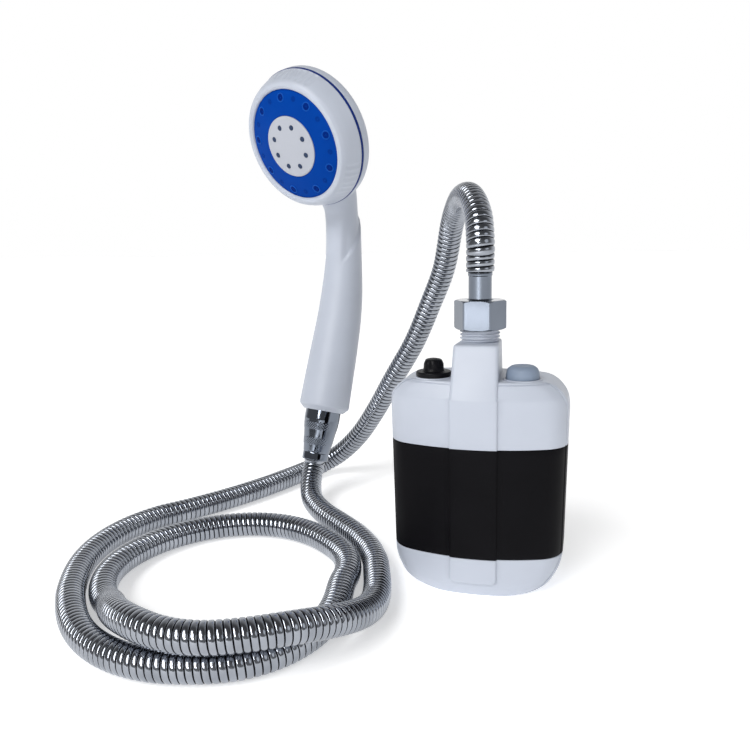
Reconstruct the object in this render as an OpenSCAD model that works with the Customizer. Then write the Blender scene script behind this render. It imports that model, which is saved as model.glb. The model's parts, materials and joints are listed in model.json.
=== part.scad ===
// Camp shower pump: a rechargeable pump that stands in a bucket, a ribbed
// metal hose and a hand shower on the hose's end.
// Millimetres, Z up, front towards -Y, origin at the centre of the flat base.

/* [Pump casing] */
// Width of the casing
body_w = 91; // [86:1:100]
// Depth of the casing, front to back
body_d = 52; // [51:1:60]
// Height of the white lower cup
base_h = 21; // [19:1:26]
// Height of the black middle band
band_h = 58; // [56:1:70]
// Height of the white upper shell, without the neck
top_h = 34; // [32:1:40]
// Wall of the casing
wall = 2.2; // [1.8:0.1:2.6]
// Radius of the bowed front and back
front_r = 100; // [90:5:130]
// Radius of the upright corners
corner_r = 16; // [14:1:18]
// Radius of the lower corners, seen from the front
bottom_round = 24; // [20:1:26]
// Radius of the upper corners, seen from the front
top_round = 16; // [12:1:20]
// Radius of the lower front and back edges
bottom_edge = 2.5; // [2:0.5:8]
// Radius of the upper front and back edges
top_edge = 3.5; // [2:0.5:8]
// Height of the band that leans back under the top
top_bevel = 9; // [6:0.5:10]
// Height of the band that leans in over the base
bottom_bevel = 6; // [3:0.5:6]
// Width of the raised strip on the front
strip_w = 24.5; // [23:0.5:28]
// How far the strip stands out
strip_raise = 1.3; // [0.8:0.1:2]

/* [Outlet neck and union] */
// Height of the neck above the casing
neck_h = 18; // [16:1:24]
// Length of the threaded spout
thread_l = 15; // [13:1:18]
// Width of the union nut across its flats
nut_af = 24; // [23.8:0.1:27]
// Height of the union nut
nut_h = 15; // [14:0.5:17]
// Diameter of the hose ferrules
ferrule_d = 12; // [11:0.5:12.5]
// Length of ferrule that shows above the union nut
ferrule_show = 14.5; // [10:0.5:18]
// Outside diameter of the delivery tube
tube_d = 10; // [9:0.5:10]
// Bore of the delivery tube
tube_bore = 7; // [6:0.5:7]

/* [Button and charging port] */
// Sideways place of the button and of the port
top_fit_x = 23; // [22:0.5:25]
// Place of both, ahead of the outlet
top_fit_y = 9; // [8:0.5:10]
// Diameter of the power button
button_d = 17; // [16:0.2:19]
// Height of the button above its collar
button_h = 6.6; // [5:0.2:8]
// Travel of the button
button_travel = 2; // [1.5:0.1:2.2]
// Diameter of the port plug's flange
plug_d = 18.4; // [16:0.2:19]
// Height of the port plug's grip above its flange
plug_grip_h = 6.4; // [6:0.2:10]
// Diameter of the port plug's grip
plug_grip_d = 8.8; // [8:0.2:11]

/* [Pump works] */
// Diameter of the impeller
impeller_d = 22; // [18:1:22]
// Number of impeller blades
impeller_blades = 6; // [4:1:8]
// Diameter of the motor
motor_d = 24.4; // [22:0.2:24.4]
// Length of the motor
motor_l = 31; // [26:1:34]
// Diameter of the motor shaft
shaft_d = 2; // [2:0.1:2.5]
// Diameter of a battery cell
cell_d = 18.4; // [16:0.2:18.6]
// Length of a battery cell
cell_l = 65; // [60:1:66]
// Width of the intake grille
grille_w = 40; // [34:1:44]
// Height of the intake grille
grille_h = 10; // [8:0.5:11]

/* [Hose] */
// Outside diameter of the hose
hose_d = 14.8; // [14:0.1:15]
// Bore of the hose
hose_bore = 9; // [8.8:0.1:9.6]
// Depth of the grooves between the ribs
rib_depth = 0.6; // [0.3:0.1:0.8]
// Number of ribs along the hose
ribs = 160; // [120:10:180]

/* [Hand shower] */
// Diameter of the shower head
head_d = 92; // [88:0.5:98]
// Width of the white rim round the spray face
rim_w = 10; // [9:0.1:12]
// Bulge of the spray face
face_crown = 4.9; // [4:0.1:6]
// Diameter of the white centre disc
centre_d = 40; // [38:0.2:44]
// Height of the turning bezel
bezel_h = 15.6; // [14:0.2:18]
// Depth of the domed back of the head
dome_h = 19; // [18:0.5:24]
// Wall of the head and of the handle's skirt
head_wall = 2.4; // [2:0.1:3]
// Diameter of the handle at its foot
handle_d = 35.6; // [31:0.2:38]
// Diameter of the handle at its neck
neck_d = 25; // [22:0.2:27]
// Height of the handle's foot above the floor
hand_h = 65.5; // [62:0.5:72]
// Place of the handle's foot behind the outlet
hand_back = 118; // [114:1:122]
// Place of the handle's foot to the left of the outlet
hand_side = 127; // [124:1:130]
// Bore of the handle
handle_bore = 10; // [8:0.5:11]
// Length of the tapered hose nut below the handle
cone_l = 39; // [36:1:44]
// Diameter of the tapered nut at its foot
cone_d0 = 18.6; // [18.4:0.2:21]
// Diameter of the tapered nut at its head
cone_d1 = 25.2; // [24.8:0.2:26.4]

/* [Clearances] */
// Gap between turning or sliding pieces and what they pass
run_gap = 0.35; // [0.3:0.05:0.5]
// Gap round a shaft in its bearing
shaft_gap = 0.05; // [0.03:0.01:0.08]
// Gap between pieces that are fixed together
fix_gap = 0.05; // [0.02:0.01:0.1]

/* [Hidden] */
$fn = 64;
eps = 0.01;

// Half-inch pipe thread, a standard size
thread_d = 20.955;
thread_pitch = 1.814;
thread_depth = 1.162;

// Heights of the casing
body_h = base_h + band_h + top_h;
band_top = base_h + band_h;
half_d = body_d/2;
half_w = body_w/2;
strip_foot = 7;
inner_round = 0.6;
gasket_t = 0.6;
gasket_h = 4;
strip_top = body_h - top_bevel;
bevel_lean = 21;

// Bowed plan of the casing: centres of the arcs and of the corners
bow_y = front_r - half_d;
corner_x = half_w - corner_r;
corner_y = sqrt(pow(front_r - corner_r, 2) - pow(corner_x, 2)) - bow_y;
touch_x = corner_x*front_r/(front_r - corner_r);

// Outlet union, bottom to top
neck_top = body_h + neck_h;
neck_front = 16.5;
neck_back = 13;
spout_top = neck_top + thread_l;
spout_core = thread_d - 2*thread_depth;
washer_t = 1.4;
flange_t = 1.6;
flange_d = ferrule_d + 5;
thrust_t = 0.6;
ferrule_foot = spout_top + washer_t;
thrust_z = ferrule_foot + flange_t + 0.1;
nut_lip_z = thrust_z + thrust_t + 0.1;
nut_lip_t = 2.7;
nut_top = nut_lip_z + nut_lip_t;
nut_foot = nut_top - nut_h;
nut_turn_rest = -7;
ferrule_top = nut_top + ferrule_show;
spigot_l = 7;
spigot_d = hose_bore*cos(22.5) - 0.3;
ferrule_bore = spigot_d - 2;

// Button and port
collar_t = 3;
collar_top = body_h + 0.4;
well_depth = button_travel + 0.6;
well_floor = collar_top - well_depth;
well_floor_t = 1.8;
stem_d = 4.4;
port_d = 12.6;
plug_flange_t = 2.6;
plug_stem_l = 5;
plug_hollow_d = 8.8;

// Boards and switch under the upper shell
board_t = 1.6;
board_margin = 7;
board_w = 2*(top_fit_x + board_margin);
board_cut_w = 16;
board_cut_front = 8;
board_cut_l = 10;
board_back = 2;
board_front = 17.5;
switch_h = 3.8;
switch_stem_gap = 0.2;
board_z = well_floor - well_floor_t - 3 - switch_h - board_t;
board_top = board_z + board_t;
socket_w = 9;
socket_d = 7.4;
post_d = 5;
post_x = 12;
post_y = 13;

// Pump works stack up on the floor of the middle shell
floor_t = 2.5;
floor_z = base_h + 2.2;
floor_top = floor_z + floor_t;
volute_floor_t = 2.4;
chamber_h = 9;
chamber_d = impeller_d + 1.2;
cover_t = 2.4;
cover_d = chamber_d + 1.4;
volute_d = cover_d + 3.4;
volute_top = floor_top + volute_floor_t + chamber_h + cover_t;
eye_d = 8;
nozzle_d = 11.4;
nozzle_drop = 3.6;
seal_d = 7;
motor_top = volute_top + motor_l;
bearing_l = 6;
tube_y = half_d - wall - tube_d/2 - 0.8;
bend_r = tube_y/2;
bend_z = body_h - 21;
socket_l = 4;
outlet_w = tube_d + 3;
tube_top = spout_top - 6;
ring_t = 1.8;
cell_inset = 16;
cell_x = half_w - cell_inset;
cell_z = floor_top + fix_gap;
frame_lift = 34;
frame_z = floor_top + frame_lift;
frame_t = 3;

// Screws through the base
screw_x = 17;
screw_y = 12;
screw_d = 2.9;
screw_head_d = 5.5;
screw_head_t = 2.2;
screw_sink = 0.8;
boss_d = 7;
screw_post_l = 12;

// Intake at the back of the lower cup
grille_z = 6;
slot_w = 2.4;
slot_n = 7;

// Hose: the route's points, laid out by hand, and the coil's rule
hose_z0 = ferrule_top;
floor_c = hose_d/2 + 0.2;
route_z0 = 167;
rise_route = [[-2, 7, 195], [-8, 24, 205], [-15, 45, 207], [-22, 67, 203], [-29, 86, 191],
    [-37, 103, 164], [-48, 114, 140], [-62, 126, 112], [-80, 138, 84], [-97, 150, 57],
    [-113, 160, 35], [-129, 165, 19], [-143, 161, 10], [-152, 147, 7.6], [-160, 124, 7.6],
    [-171, 97, 7.6], [-185, 70, 7.6], [-199, 48, 7.6]];
tail_route = [[-65, 8, 7.6], [-77, 25, 7.6], [-91, 40, 7.6], [-105, 54, 7.6],
    [-117, 69, 7.6], [-126, 83, 9], [-131, 96, 15]];
coil_c = [-128, -38];
coil_from = 140;
coil_to = 745;

// Hand shower: place of the handle's foot, its turn and its lean
hand_base = [-hand_side, hand_back, hand_h];
hand_yaw = 25;
hand_lean = 17;
head_tilt = 52;
face_out = 72.2;
face_up = 165.8;
face_d = head_d - 2*rim_w;
hose_end_u = -26;
spigot_foot = -9;
skirt_l = 14;
hand_flange_t = 1.6;
cone_top = 2;

function ease(a, b, t) = let (u = min(max((t - a)/(b - a), 0), 1)) u*u*(3 - 2*u);
function unit(v) = v/norm(v);

// The coil winds in, goes under, winds round inside and climbs back over
function coil_r(t) = 84.5 + 27.5*(1 - ease(120, 210, t)) + 13.5*ease(215, 278, t)
    - 36.5*ease(290, 362, t) + 9*ease(405, 470, t) - 2*ease(475, 530, t)
    + 35*ease(588, 650, t) - 26.5*ease(662, 736, t);
function coil_z(t) = floor_c + (hose_d + 1)*ease(580, 632, t)*(1 - ease(662, 712, t));
function coil_point(t) = [coil_c[0] + coil_r(t)*cos(t), coil_c[1] + coil_r(t)*sin(t), coil_z(t)];

// Axis of the handle's foot in the part's frame
hand_axis = [sin(hand_lean)*sin(hand_yaw), sin(hand_lean)*cos(hand_yaw), cos(hand_lean)];
hose_end = hand_base + hose_end_u*hand_axis;

function route_lift(p) = [p[0], p[1], max(p[2] + (hose_z0 - route_z0)*(p[2] - 7.6)/(route_z0 - 7.6), floor_c)];
function spline_point(a, b, c, d, t) = 0.5*(2*b + (c - a)*t + (2*a - 5*b + 4*c - d)*t*t + (3*b - a - 3*c + d)*t*t*t);
function spline(p, n) = let (m = len(p), q = concat([2*p[0] - p[1]], p, [2*p[m-1] - p[m-2]]))
    concat([for (i = [1:m-1]) for (k = [0:n-1]) spline_point(q[i-1], q[i], q[i+1], q[i+2], k/n)], [p[m-1]]);

rise_knots = concat([for (h = [0, 0.5, 1]) [0, 0, hose_z0 + h*hose_d]],
    [for (p = rise_route) route_lift(p)], [coil_point(coil_from)]);
tail_knots = concat([coil_point(coil_to)], [for (p = tail_route) [p[0], p[1], max(p[2], floor_c)]],
    [for (h = [1.2, 0.87, 0.5, 0]) hose_end - h*hose_d*hand_axis]);
rise_line = spline(rise_knots, 8);
coil_line = [for (i = [0:240]) coil_point(coil_from + (coil_to - coil_from)*i/240)];
tail_line = spline(tail_knots, 8);
function drop_first(p) = [for (i = [1:len(p)-1]) p[i]];
line = concat(rise_line, drop_first(coil_line), drop_first(tail_line));
run = [for (i = 0, s = 0; i < len(line); s = s + (i + 1 < len(line) ? norm(line[i+1] - line[i]) : 0), i = i + 1) s];
hose_length = run[len(run)-1];
function table(k) = [for (i = [0:len(line)-1]) [run[i], line[i][k]]];
table_x = table(0);
table_y = table(1);
table_z = table(2);
ring_n = 2*ribs;
hose_points = [for (i = [0:ring_n]) let (s = hose_length*i/ring_n) [lookup(s, table_x), lookup(s, table_y), lookup(s, table_z)]];
hose_dirs = [for (i = [0:ring_n]) i == 0 ? [0, 0, 1] : i == ring_n ? hand_axis : unit(hose_points[i+1] - hose_points[i-1])];
hose_sides = [for (i = 0, n = [1, 0, 0]; i <= ring_n;
    n = i < ring_n ? unit(n - (n*hose_dirs[i+1])*hose_dirs[i+1]) : n, i = i + 1) n];
coil_first = round(ring_n*run[len(rise_line)-1]/hose_length);
coil_last = round(ring_n*run[len(rise_line)+len(coil_line)-2]/hose_length);

// Least gap of the hose to itself, measured between its rings
near_rings = ceil(4*hose_d*ring_n/hose_length);
hose_gap = min([for (i = [0:ring_n-near_rings]) for (j = [i+near_rings:ring_n]) norm(hose_points[i] - hose_points[j])]) - hose_d;
echo(hose_length = hose_length, hose_gap = hose_gap, body_h = body_h, outlet_top = spout_top);

function hose_ring(i, r) = [for (k = [0:7]) hose_points[i]
    + r*(cos(45*k)*hose_sides[i] + sin(45*k)*cross(hose_dirs[i], hose_sides[i]))];

// Ribbed tube with its bore, from ring a to ring b
module hose_run(a, b) {
    outer = [for (i = [a:b]) each hose_ring(i, hose_d/2 - (i%2 == 0 ? 0 : rib_depth))];
    steps = [for (i = [a:b]) if (i == a || i == b || i%2 == 0) i];
    inner = [for (i = steps) each hose_ring(i, hose_bore/2)];
    n = b - a;
    m = len(steps) - 1;
    o = len(outer);
    walls = [for (i = [0:n-1]) for (k = [0:7]) let (p = i*8 + k, q = i*8 + (k + 1)%8)
        each [[p, p + 8, q], [q, p + 8, q + 8]]];
    bore = [for (i = [0:m-1]) for (k = [0:7]) let (p = o + i*8 + k, q = o + i*8 + (k + 1)%8)
        each [[p, q, p + 8], [q, q + 8, p + 8]]];
    ends = [for (k = [0:7]) let (q = (k + 1)%8, e = n*8, f = o + m*8)
        each [[k, q, o + k], [q, o + q, o + k], [e + k, f + k, e + q], [e + q, f + k, f + q]]];
    polyhedron(concat(outer, inner), concat(walls, bore, ends));
}

// Bowed plan of the casing, drawn in by i
module casing_plan(i) {
    intersection() {
        translate([0, bow_y]) circle(front_r - i);
        translate([0, -bow_y]) circle(front_r - i);
        square([2*touch_x, body_d], center = true);
    }
    square([body_w - 2*i, 2*corner_y], center = true);
    for (x = [-1, 1]) for (y = [-1, 1]) translate([x*corner_x, y*corner_y]) circle(corner_r - i);
}

// Rectangle with its own radius at the foot and at the top
module round_face(w, h, r0, r1) {
    translate([-w/2 + r0, 0]) square([w - 2*r0, h/2]);
    translate([-w/2 + r1, h/2]) square([w - 2*r1, h/2]);
    translate([-w/2, r0]) square([w, h - r0 - r1]);
    for (s = [-1, 1]) {
        translate([s*(w/2 - r0), r0]) circle(r0);
        translate([s*(w/2 - r1), h - r1]) circle(r1);
    }
}

// Bowed front (s = -1) or back (s = 1), leaning in above or below the height z
module lean_in(s, z, lean, i) translate([0, s*(half_d - i), z]) rotate([s*lean, 0, 0])
    translate([0, -s*(front_r - i), 0]) cylinder(r = front_r - i, h = 3*body_h, center = true);

// Whole casing as one solid, drawn in by i on every side
module casing(i) {
    intersection() {
        linear_extrude(body_h) casing_plan(i);
        translate([0, 0, i]) rotate([90, 0, 0]) linear_extrude(body_d + 2, center = true)
            round_face(body_w - 2*i, body_h - 2*i, bottom_round - i, top_round - i);
        translate([0, 0, i]) rotate([90, 0, 90]) linear_extrude(body_w + 2, center = true)
            round_face(body_d - 2*i, body_h - 2*i, max(bottom_edge - i, inner_round), max(top_edge - i, inner_round));
        lean_in(-1, body_h - top_bevel, bevel_lean, i);
        lean_in(1, body_h - top_bevel, bevel_lean, i);
        lean_in(-1, bottom_bevel, -bevel_lean, i);
        lean_in(1, bottom_bevel, -bevel_lean, i);
    }
}

module slab(z0, z1) translate([-body_w, -body_d, z0]) cube([2*body_w, 2*body_d, z1 - z0]);

module casing_wall(z0, z1) intersection() {
    difference() {
        casing(0);
        casing(wall);
    }
    slab(z0, z1);
}

// Raised strip up the front
module strip(z0, z1) intersection() {
    translate([0, bow_y, 0]) cylinder(r = front_r + strip_raise, h = body_h, $fn = 128);
    translate([0, -half_d, strip_foot]) rotate([90, 0, 0]) linear_extrude(wall*2, center = true)
        round_face(strip_w, strip_top - strip_foot + 6, 3, 1);
    slab(max(z0, strip_foot), min(z1, strip_top));
}

module screw_places() for (x = [-1, 1]) for (y = [-1, 1]) translate([x*screw_x, y*screw_y, 0]) children();

module grille_hole(gap) translate([-grille_w/2 - gap, half_d - 12, grille_z - gap])
    cube([grille_w + 2*gap, 20, grille_h + 2*gap]);

module ring(d0, d1, h) difference() {
    cylinder(d = d1, h = h);
    translate([0, 0, -1]) cylinder(d = d0, h = h + 2);
}

// Rows of pipe-thread crests round a spout
module thread_rows(z0, z1) {
    rows = floor((z1 - z0)/thread_pitch);
    rotate_extrude() for (k = [0:rows-1]) translate([0, z0 + k*thread_pitch])
        polygon([[spout_core/2 - 1, 0.2], [spout_core/2, 0.2], [thread_d/2, 0.75], [thread_d/2, 1.05],
            [spout_core/2, 1.6], [spout_core/2 - 1, 1.6]]);
}

module bottom_shell() color("white") difference() {
    union() {
        casing_wall(0, base_h);
        strip(0, base_h);
        intersection() {
            screw_places() cylinder(d = boss_d, h = base_h);
            casing(0);
        }
    }
    grille_hole(0);
    screw_places() {
        translate([0, 0, -1]) cylinder(d = screw_d + 0.3, h = base_h + 2);
        translate([0, 0, -1]) cylinder(d = screw_head_d + 0.4, h = screw_sink + screw_head_t + 1);
    }
}

module middle_shell() color([0.09, 0.09, 0.1]) difference() {
    union() {
        casing_wall(base_h, band_top);
        strip(base_h, band_top);
        intersection() {
            casing(wall - 0.5);
            slab(floor_z, floor_top);
        }
        screw_places() translate([0, 0, base_h]) cylinder(d = boss_d, h = floor_top - base_h + screw_post_l);
    }
    translate([0, 0, floor_z - 1]) cylinder(d = nozzle_d + 2*run_gap, h = floor_t + 2);
    screw_places() translate([0, 0, base_h - 1]) cylinder(d = screw_d + 2*fix_gap, h = floor_top - base_h + screw_post_l);
}

// Side view of the neck, leaning back from the strip to the spout
module neck_side(i) polygon([[-half_d - strip_raise + 0.4 + i, strip_top - i*0.3], [-neck_front + i, neck_top - i],
    [neck_back - i, neck_top - i], [neck_back - i, strip_top - 6], [-half_d + 8, strip_top - 6]]);

module top_fit(x) translate([x*top_fit_x, -top_fit_y, 0]) children();

module top_shell() color("white") difference() {
    union() {
        casing_wall(band_top, body_h);
        strip(band_top, strip_top + eps);
        difference() {
            rotate([90, 0, 90]) linear_extrude(strip_w, center = true) neck_side(0);
            rotate([90, 0, 90]) linear_extrude(strip_w - 2*wall, center = true) neck_side(wall);
            casing(wall);
        }
        translate([0, 0, neck_top - wall]) cylinder(d = spout_core, h = spout_top - neck_top + wall);
        thread_rows(neck_top, spout_top - 0.6);
        top_fit(-1) translate([0, 0, body_h - collar_t]) cylinder(d = plug_d + 1.6, h = collar_top - body_h + collar_t);
        top_fit(1) translate([0, 0, well_floor - well_floor_t])
            cylinder(d = button_d + 2*run_gap + 2.4, h = collar_top - well_floor + well_floor_t);
        for (x = [-1, 1]) translate([x*post_x, -post_y, board_top]) cylinder(d = post_d, h = body_h - wall/2 - board_top);
    }
    intersection() {
        rotate([90, 0, 90]) linear_extrude(strip_w - 2*wall, center = true) neck_side(wall);
        slab(body_h - wall - 1, neck_top);
        translate([-strip_w, -neck_front + wall, 0]) cube([2*strip_w, neck_front + neck_back - 2*wall, 2*body_h]);
    }
    translate([0, 0, neck_top - wall - 1]) cylinder(d = tube_d + 2*fix_gap, h = thread_l + wall + 2);
    top_fit(-1) translate([0, 0, body_h - collar_t - 1]) cylinder(d = port_d, h = collar_t + 3);
    top_fit(1) {
        translate([0, 0, well_floor]) cylinder(d = button_d + 2*run_gap, h = well_depth + 1);
        translate([0, 0, well_floor - well_floor_t - 1]) cylinder(d = stem_d + 2*run_gap, h = well_floor_t + 2);
    }
}

module shell_seal(z) intersection() {
    difference() {
        casing(wall + fix_gap);
        casing(wall + fix_gap + gasket_t);
    }
    slab(z - gasket_h/2, z + gasket_h/2);
}
module lower_seal() color([0.2, 0.2, 0.2]) shell_seal(base_h);
module upper_seal() color([0.2, 0.2, 0.2]) shell_seal(band_top);

module base_screw(x, y) color("silver") translate([x*screw_x, y*screw_y, screw_sink]) difference() {
    union() {
        cylinder(d = screw_head_d, h = screw_head_t);
        cylinder(d = screw_d, h = floor_top + screw_post_l - screw_sink - 2);
    }
    for (a = [0, 90]) rotate(a) translate([-1.6, -0.4, -1]) cube([3.2, 0.8, 2]);
}
module base_screw_1() base_screw(-1, -1);
module base_screw_2() base_screw(1, -1);
module base_screw_3() base_screw(1, 1);
module base_screw_4() base_screw(-1, 1);

// Slotted cover that pulls off the back of the lower cup
module intake_grille() color("white") difference() {
    intersection() {
        difference() {
            casing(0);
            casing(wall);
        }
        grille_hole(-run_gap);
    }
    for (k = [0:slot_n-1]) translate([(k - (slot_n - 1)/2)*(grille_w - 6)/(slot_n - 1) - slot_w/2, half_d - 12, grille_z + 2])
        cube([slot_w, 20, grille_h - 4]);
}

// Filter block between the screw bosses, under the pump's eye
sponge_w = 2*screw_x - boss_d - 1;
sponge_top = base_h - 2.4;
sponge_front = 12;
sponge_back = 5;
module intake_sponge() color([0.25, 0.25, 0.27]) difference() {
    intersection() {
        translate([-sponge_w/2, -half_d + sponge_front, 0]) cube([sponge_w, body_d - sponge_front - sponge_back, sponge_top]);
        casing(wall + fix_gap);
    }
    translate([0, 0, wall + 4]) cylinder(d = eye_d, h = base_h);
}

// Pump chamber with its eye below and its outlet at the back
module volute() color([0.75, 0.77, 0.8]) difference() {
    union() {
        translate([0, 0, floor_top]) cylinder(d = volute_d, h = volute_top - floor_top);
        translate([-outlet_w/2, 0, floor_top]) cube([outlet_w, tube_y + tube_d/2 + 0.4, volute_top - cover_t - floor_top]);
        translate([0, 0, floor_z - nozzle_drop + floor_t]) cylinder(d = nozzle_d, h = nozzle_drop + eps);
    }
    translate([0, 0, floor_top + volute_floor_t]) cylinder(d = chamber_d, h = chamber_h + cover_t + 1);
    translate([0, 0, volute_top - cover_t]) cylinder(d = cover_d + 2*fix_gap, h = cover_t + 1);
    translate([0, 0, floor_z - nozzle_drop - 1]) cylinder(d = eye_d, h = nozzle_drop + volute_floor_t + floor_t + 2);
    translate([0, tube_y, volute_top - cover_t - socket_l]) cylinder(d = tube_d + 2*fix_gap, h = socket_l + cover_t + 1);
    translate([0, tube_y, floor_top + volute_floor_t + 1]) cylinder(d = tube_bore, h = chamber_h);
    translate([0, 0, floor_top + volute_floor_t + 3.6]) rotate([-90, 0, 0]) cylinder(d = 3.2, h = tube_y);
}

module volute_cover() color([0.75, 0.77, 0.8]) difference() {
    translate([0, 0, volute_top - cover_t]) cylinder(d = cover_d, h = cover_t);
    translate([0, 0, volute_top - cover_t - 1]) cylinder(d = seal_d + 2*fix_gap, h = cover_t + 2);
}

impeller_z = floor_top + volute_floor_t + 0.8;
impeller_h = chamber_h - 1.5;
module impeller() color([0.9, 0.6, 0.2]) difference() {
    translate([0, 0, impeller_z]) union() {
        translate([0, 0, impeller_h - 1.6]) cylinder(d = impeller_d, h = 1.6);
        cylinder(d = shaft_d + 4, h = impeller_h);
        for (k = [0:impeller_blades-1]) rotate(360*k/impeller_blades)
            translate([shaft_d/2 + 1, -0.6, 0]) cube([impeller_d/2 - shaft_d/2 - 1.4, 1.2, impeller_h - 1]);
    }
    translate([0, 0, impeller_z - 1]) cylinder(d = shaft_d + 2*fix_gap, h = impeller_h + 2);
}

module motor_shaft() color("silver") translate([0, 0, impeller_z])
    cylinder(d = shaft_d, h = volute_top + bearing_l - 1 - impeller_z);

module shaft_seal() color([0.15, 0.15, 0.15]) translate([0, 0, volute_top - cover_t + 0.1])
    ring(shaft_d + 2*shaft_gap, seal_d, cover_t - 0.1);

module motor() color([0.6, 0.62, 0.65]) difference() {
    union() {
        translate([0, 0, volute_top]) cylinder(d = motor_d, h = motor_l);
        translate([0, 0, motor_top - eps]) cylinder(d = motor_d*0.4, h = 2);
        for (s = [-1, 1]) translate([s*motor_d*0.32 - 0.4, -1.5, motor_top - eps]) cube([0.8, 3, 4]);
    }
    translate([0, 0, volute_top - 1]) cylinder(d = shaft_d + 2*shaft_gap, h = bearing_l + 1);
}

// Tube from the chamber up the back, then forward into the neck
module tube_path(d) {
    translate([0, tube_y, volute_top - cover_t - socket_l + 0.2]) cylinder(d = d, h = bend_z - volute_top + cover_t + socket_l - 0.2 + eps);
    translate([0, bend_r, bend_z]) rotate([90, 0, 90]) rotate_extrude(angle = 90) translate([bend_r, 0]) circle(d = d);
    translate([0, bend_r, bend_z + 2*bend_r]) rotate([90, 0, 90]) rotate([0, 0, 180]) rotate_extrude(angle = 90) translate([bend_r, 0]) circle(d = d);
    translate([0, 0, bend_z + 2*bend_r - eps]) cylinder(d = d, h = tube_top - bend_z - 2*bend_r + eps);
}
module delivery_tube() color([0.85, 0.85, 0.82]) difference() {
    tube_path(tube_d);
    tube_path(tube_bore);
    translate([0, tube_y, volute_top - cover_t - socket_l - 1]) cylinder(d = tube_bore, h = 3);
    translate([0, 0, tube_top - 1]) cylinder(d = tube_bore, h = 2);
}
module tube_ring() color([0.12, 0.12, 0.12]) translate([0, 0, neck_top - wall - ring_t - fix_gap])
    ring(tube_d + 2*fix_gap, tube_d + 4, ring_t);

module cell(s) color([0.2, 0.45, 0.75]) {
    translate([s*cell_x, 0, cell_z]) cylinder(d = cell_d, h = cell_l);
    translate([s*cell_x, 0, cell_z + cell_l - eps]) cylinder(d = cell_d*0.35, h = 1.4);
}
module cell_left() cell(-1);
module cell_right() cell(1);

// Plate that holds the cells, the motor and the tube off the walls
module inner_frame() color([0.82, 0.82, 0.8]) difference() {
    intersection() {
        casing(wall + fix_gap);
        slab(frame_z, frame_z + frame_t);
    }
    for (s = [-1, 1]) translate([s*cell_x, 0, frame_z - 1]) cylinder(d = cell_d + 2*fix_gap, h = frame_t + 2);
    translate([0, 0, frame_z - 1]) cylinder(d = motor_d + 2*fix_gap, h = frame_t + 2);
    translate([0, tube_y, frame_z - 1]) cylinder(d = tube_d + 2*fix_gap, h = frame_t + 2);
}

module control_board() color([0.1, 0.4, 0.2]) difference() {
    translate([-board_w/2, -board_front, board_z]) cube([board_w, board_front - board_back, board_t]);
    translate([-board_cut_w/2, -board_cut_front, board_z - 1]) cube([board_cut_w, board_cut_l, board_t + 2]);
}
module switch_body() color([0.15, 0.15, 0.15]) top_fit(1) {
    translate([-3, -3, board_top]) cube([6, 6, switch_h - 0.6]);
    translate([0, 0, board_top + switch_h - 0.6 - eps]) cylinder(d = 3.4, h = 0.6);
}
module charge_socket() color("silver") difference() {
    top_fit(-1) translate([-socket_w/2, -socket_d/2, board_top]) cube([socket_w, socket_d, body_h - collar_t - 3 - board_top]);
    top_fit(-1) translate([-socket_w/2 + 1, -socket_d/2 + 1.6, body_h - collar_t - 8]) cube([socket_w - 2, socket_d - 3.2, 10]);
}

// Soft plug with a pinched grip and a hollow stem
module port_plug() color([0.07, 0.07, 0.07]) top_fit(-1) difference() {
    union() {
        translate([0, 0, collar_top + 0.1]) cylinder(d = plug_d, h = plug_flange_t);
        translate([0, 0, collar_top + 0.1 - plug_stem_l]) cylinder(d = port_d - 2*run_gap, h = plug_stem_l + eps);
        translate([0, 0, collar_top + plug_flange_t]) cylinder(d1 = plug_grip_d + 2.4, d2 = plug_grip_d, h = plug_grip_h*0.45);
        translate([0, 0, collar_top + plug_flange_t + plug_grip_h*0.45 - eps]) cylinder(d = plug_grip_d, h = plug_grip_h*0.55);
        translate([-plug_grip_d/2 - 0.6, -1.2, collar_top + plug_flange_t]) cube([plug_grip_d + 1.2, 2.4, plug_grip_h - 0.8]);
    }
    translate([0, 0, collar_top - plug_stem_l - 1]) cylinder(d = plug_hollow_d, h = plug_stem_l + 1.4);
}

// Domed button over its switch
module power_button() color([0.5, 0.57, 0.64]) top_fit(1) {
    translate([0, 0, well_floor + button_travel + 0.2]) cylinder(d = button_d, h = collar_top + button_h - 3 - well_floor - button_travel - 0.2);
    translate([0, 0, collar_top + button_h - 3]) rotate_extrude() intersection() {
        union() {
            square([button_d/2 - 3, 3]);
            translate([button_d/2 - 3, 0]) circle(3);
        }
        square([button_d, 3]);
    }
    translate([0, 0, board_top + switch_h + button_travel + switch_stem_gap])
        cylinder(d = stem_d, h = well_floor + button_travel + 0.2 - board_top - switch_h - button_travel - switch_stem_gap + eps);
}

// Union nut on the spout, hexagon with turned corners
module hose_nut() color([0.8, 0.81, 0.83]) difference() {
    intersection() {
        translate([0, 0, nut_foot]) rotate(nut_turn_rest) cylinder(d = nut_af/cos(30), h = nut_h, $fn = 6);
        translate([0, 0, nut_foot]) union() {
            cylinder(d1 = nut_af + 1, d2 = nut_af/cos(30) + 0.6, h = 1.6);
            translate([0, 0, 1.6]) cylinder(d = nut_af/cos(30) + 0.6, h = nut_h - 3.2);
            translate([0, 0, nut_h - 1.6]) cylinder(d1 = nut_af/cos(30) + 0.6, d2 = nut_af + 1, h = 1.6);
        }
    }
    translate([0, 0, nut_foot - 1]) cylinder(d = thread_d + 2*run_gap, h = nut_lip_z - nut_foot + 1);
    translate([0, 0, nut_foot - 1]) cylinder(d = ferrule_d + 2*run_gap, h = nut_h + 2);
}
module thrust_ring() color([0.9, 0.9, 0.86]) translate([0, 0, thrust_z])
    ring(ferrule_d + 2*run_gap, flange_d, thrust_t);
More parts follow.
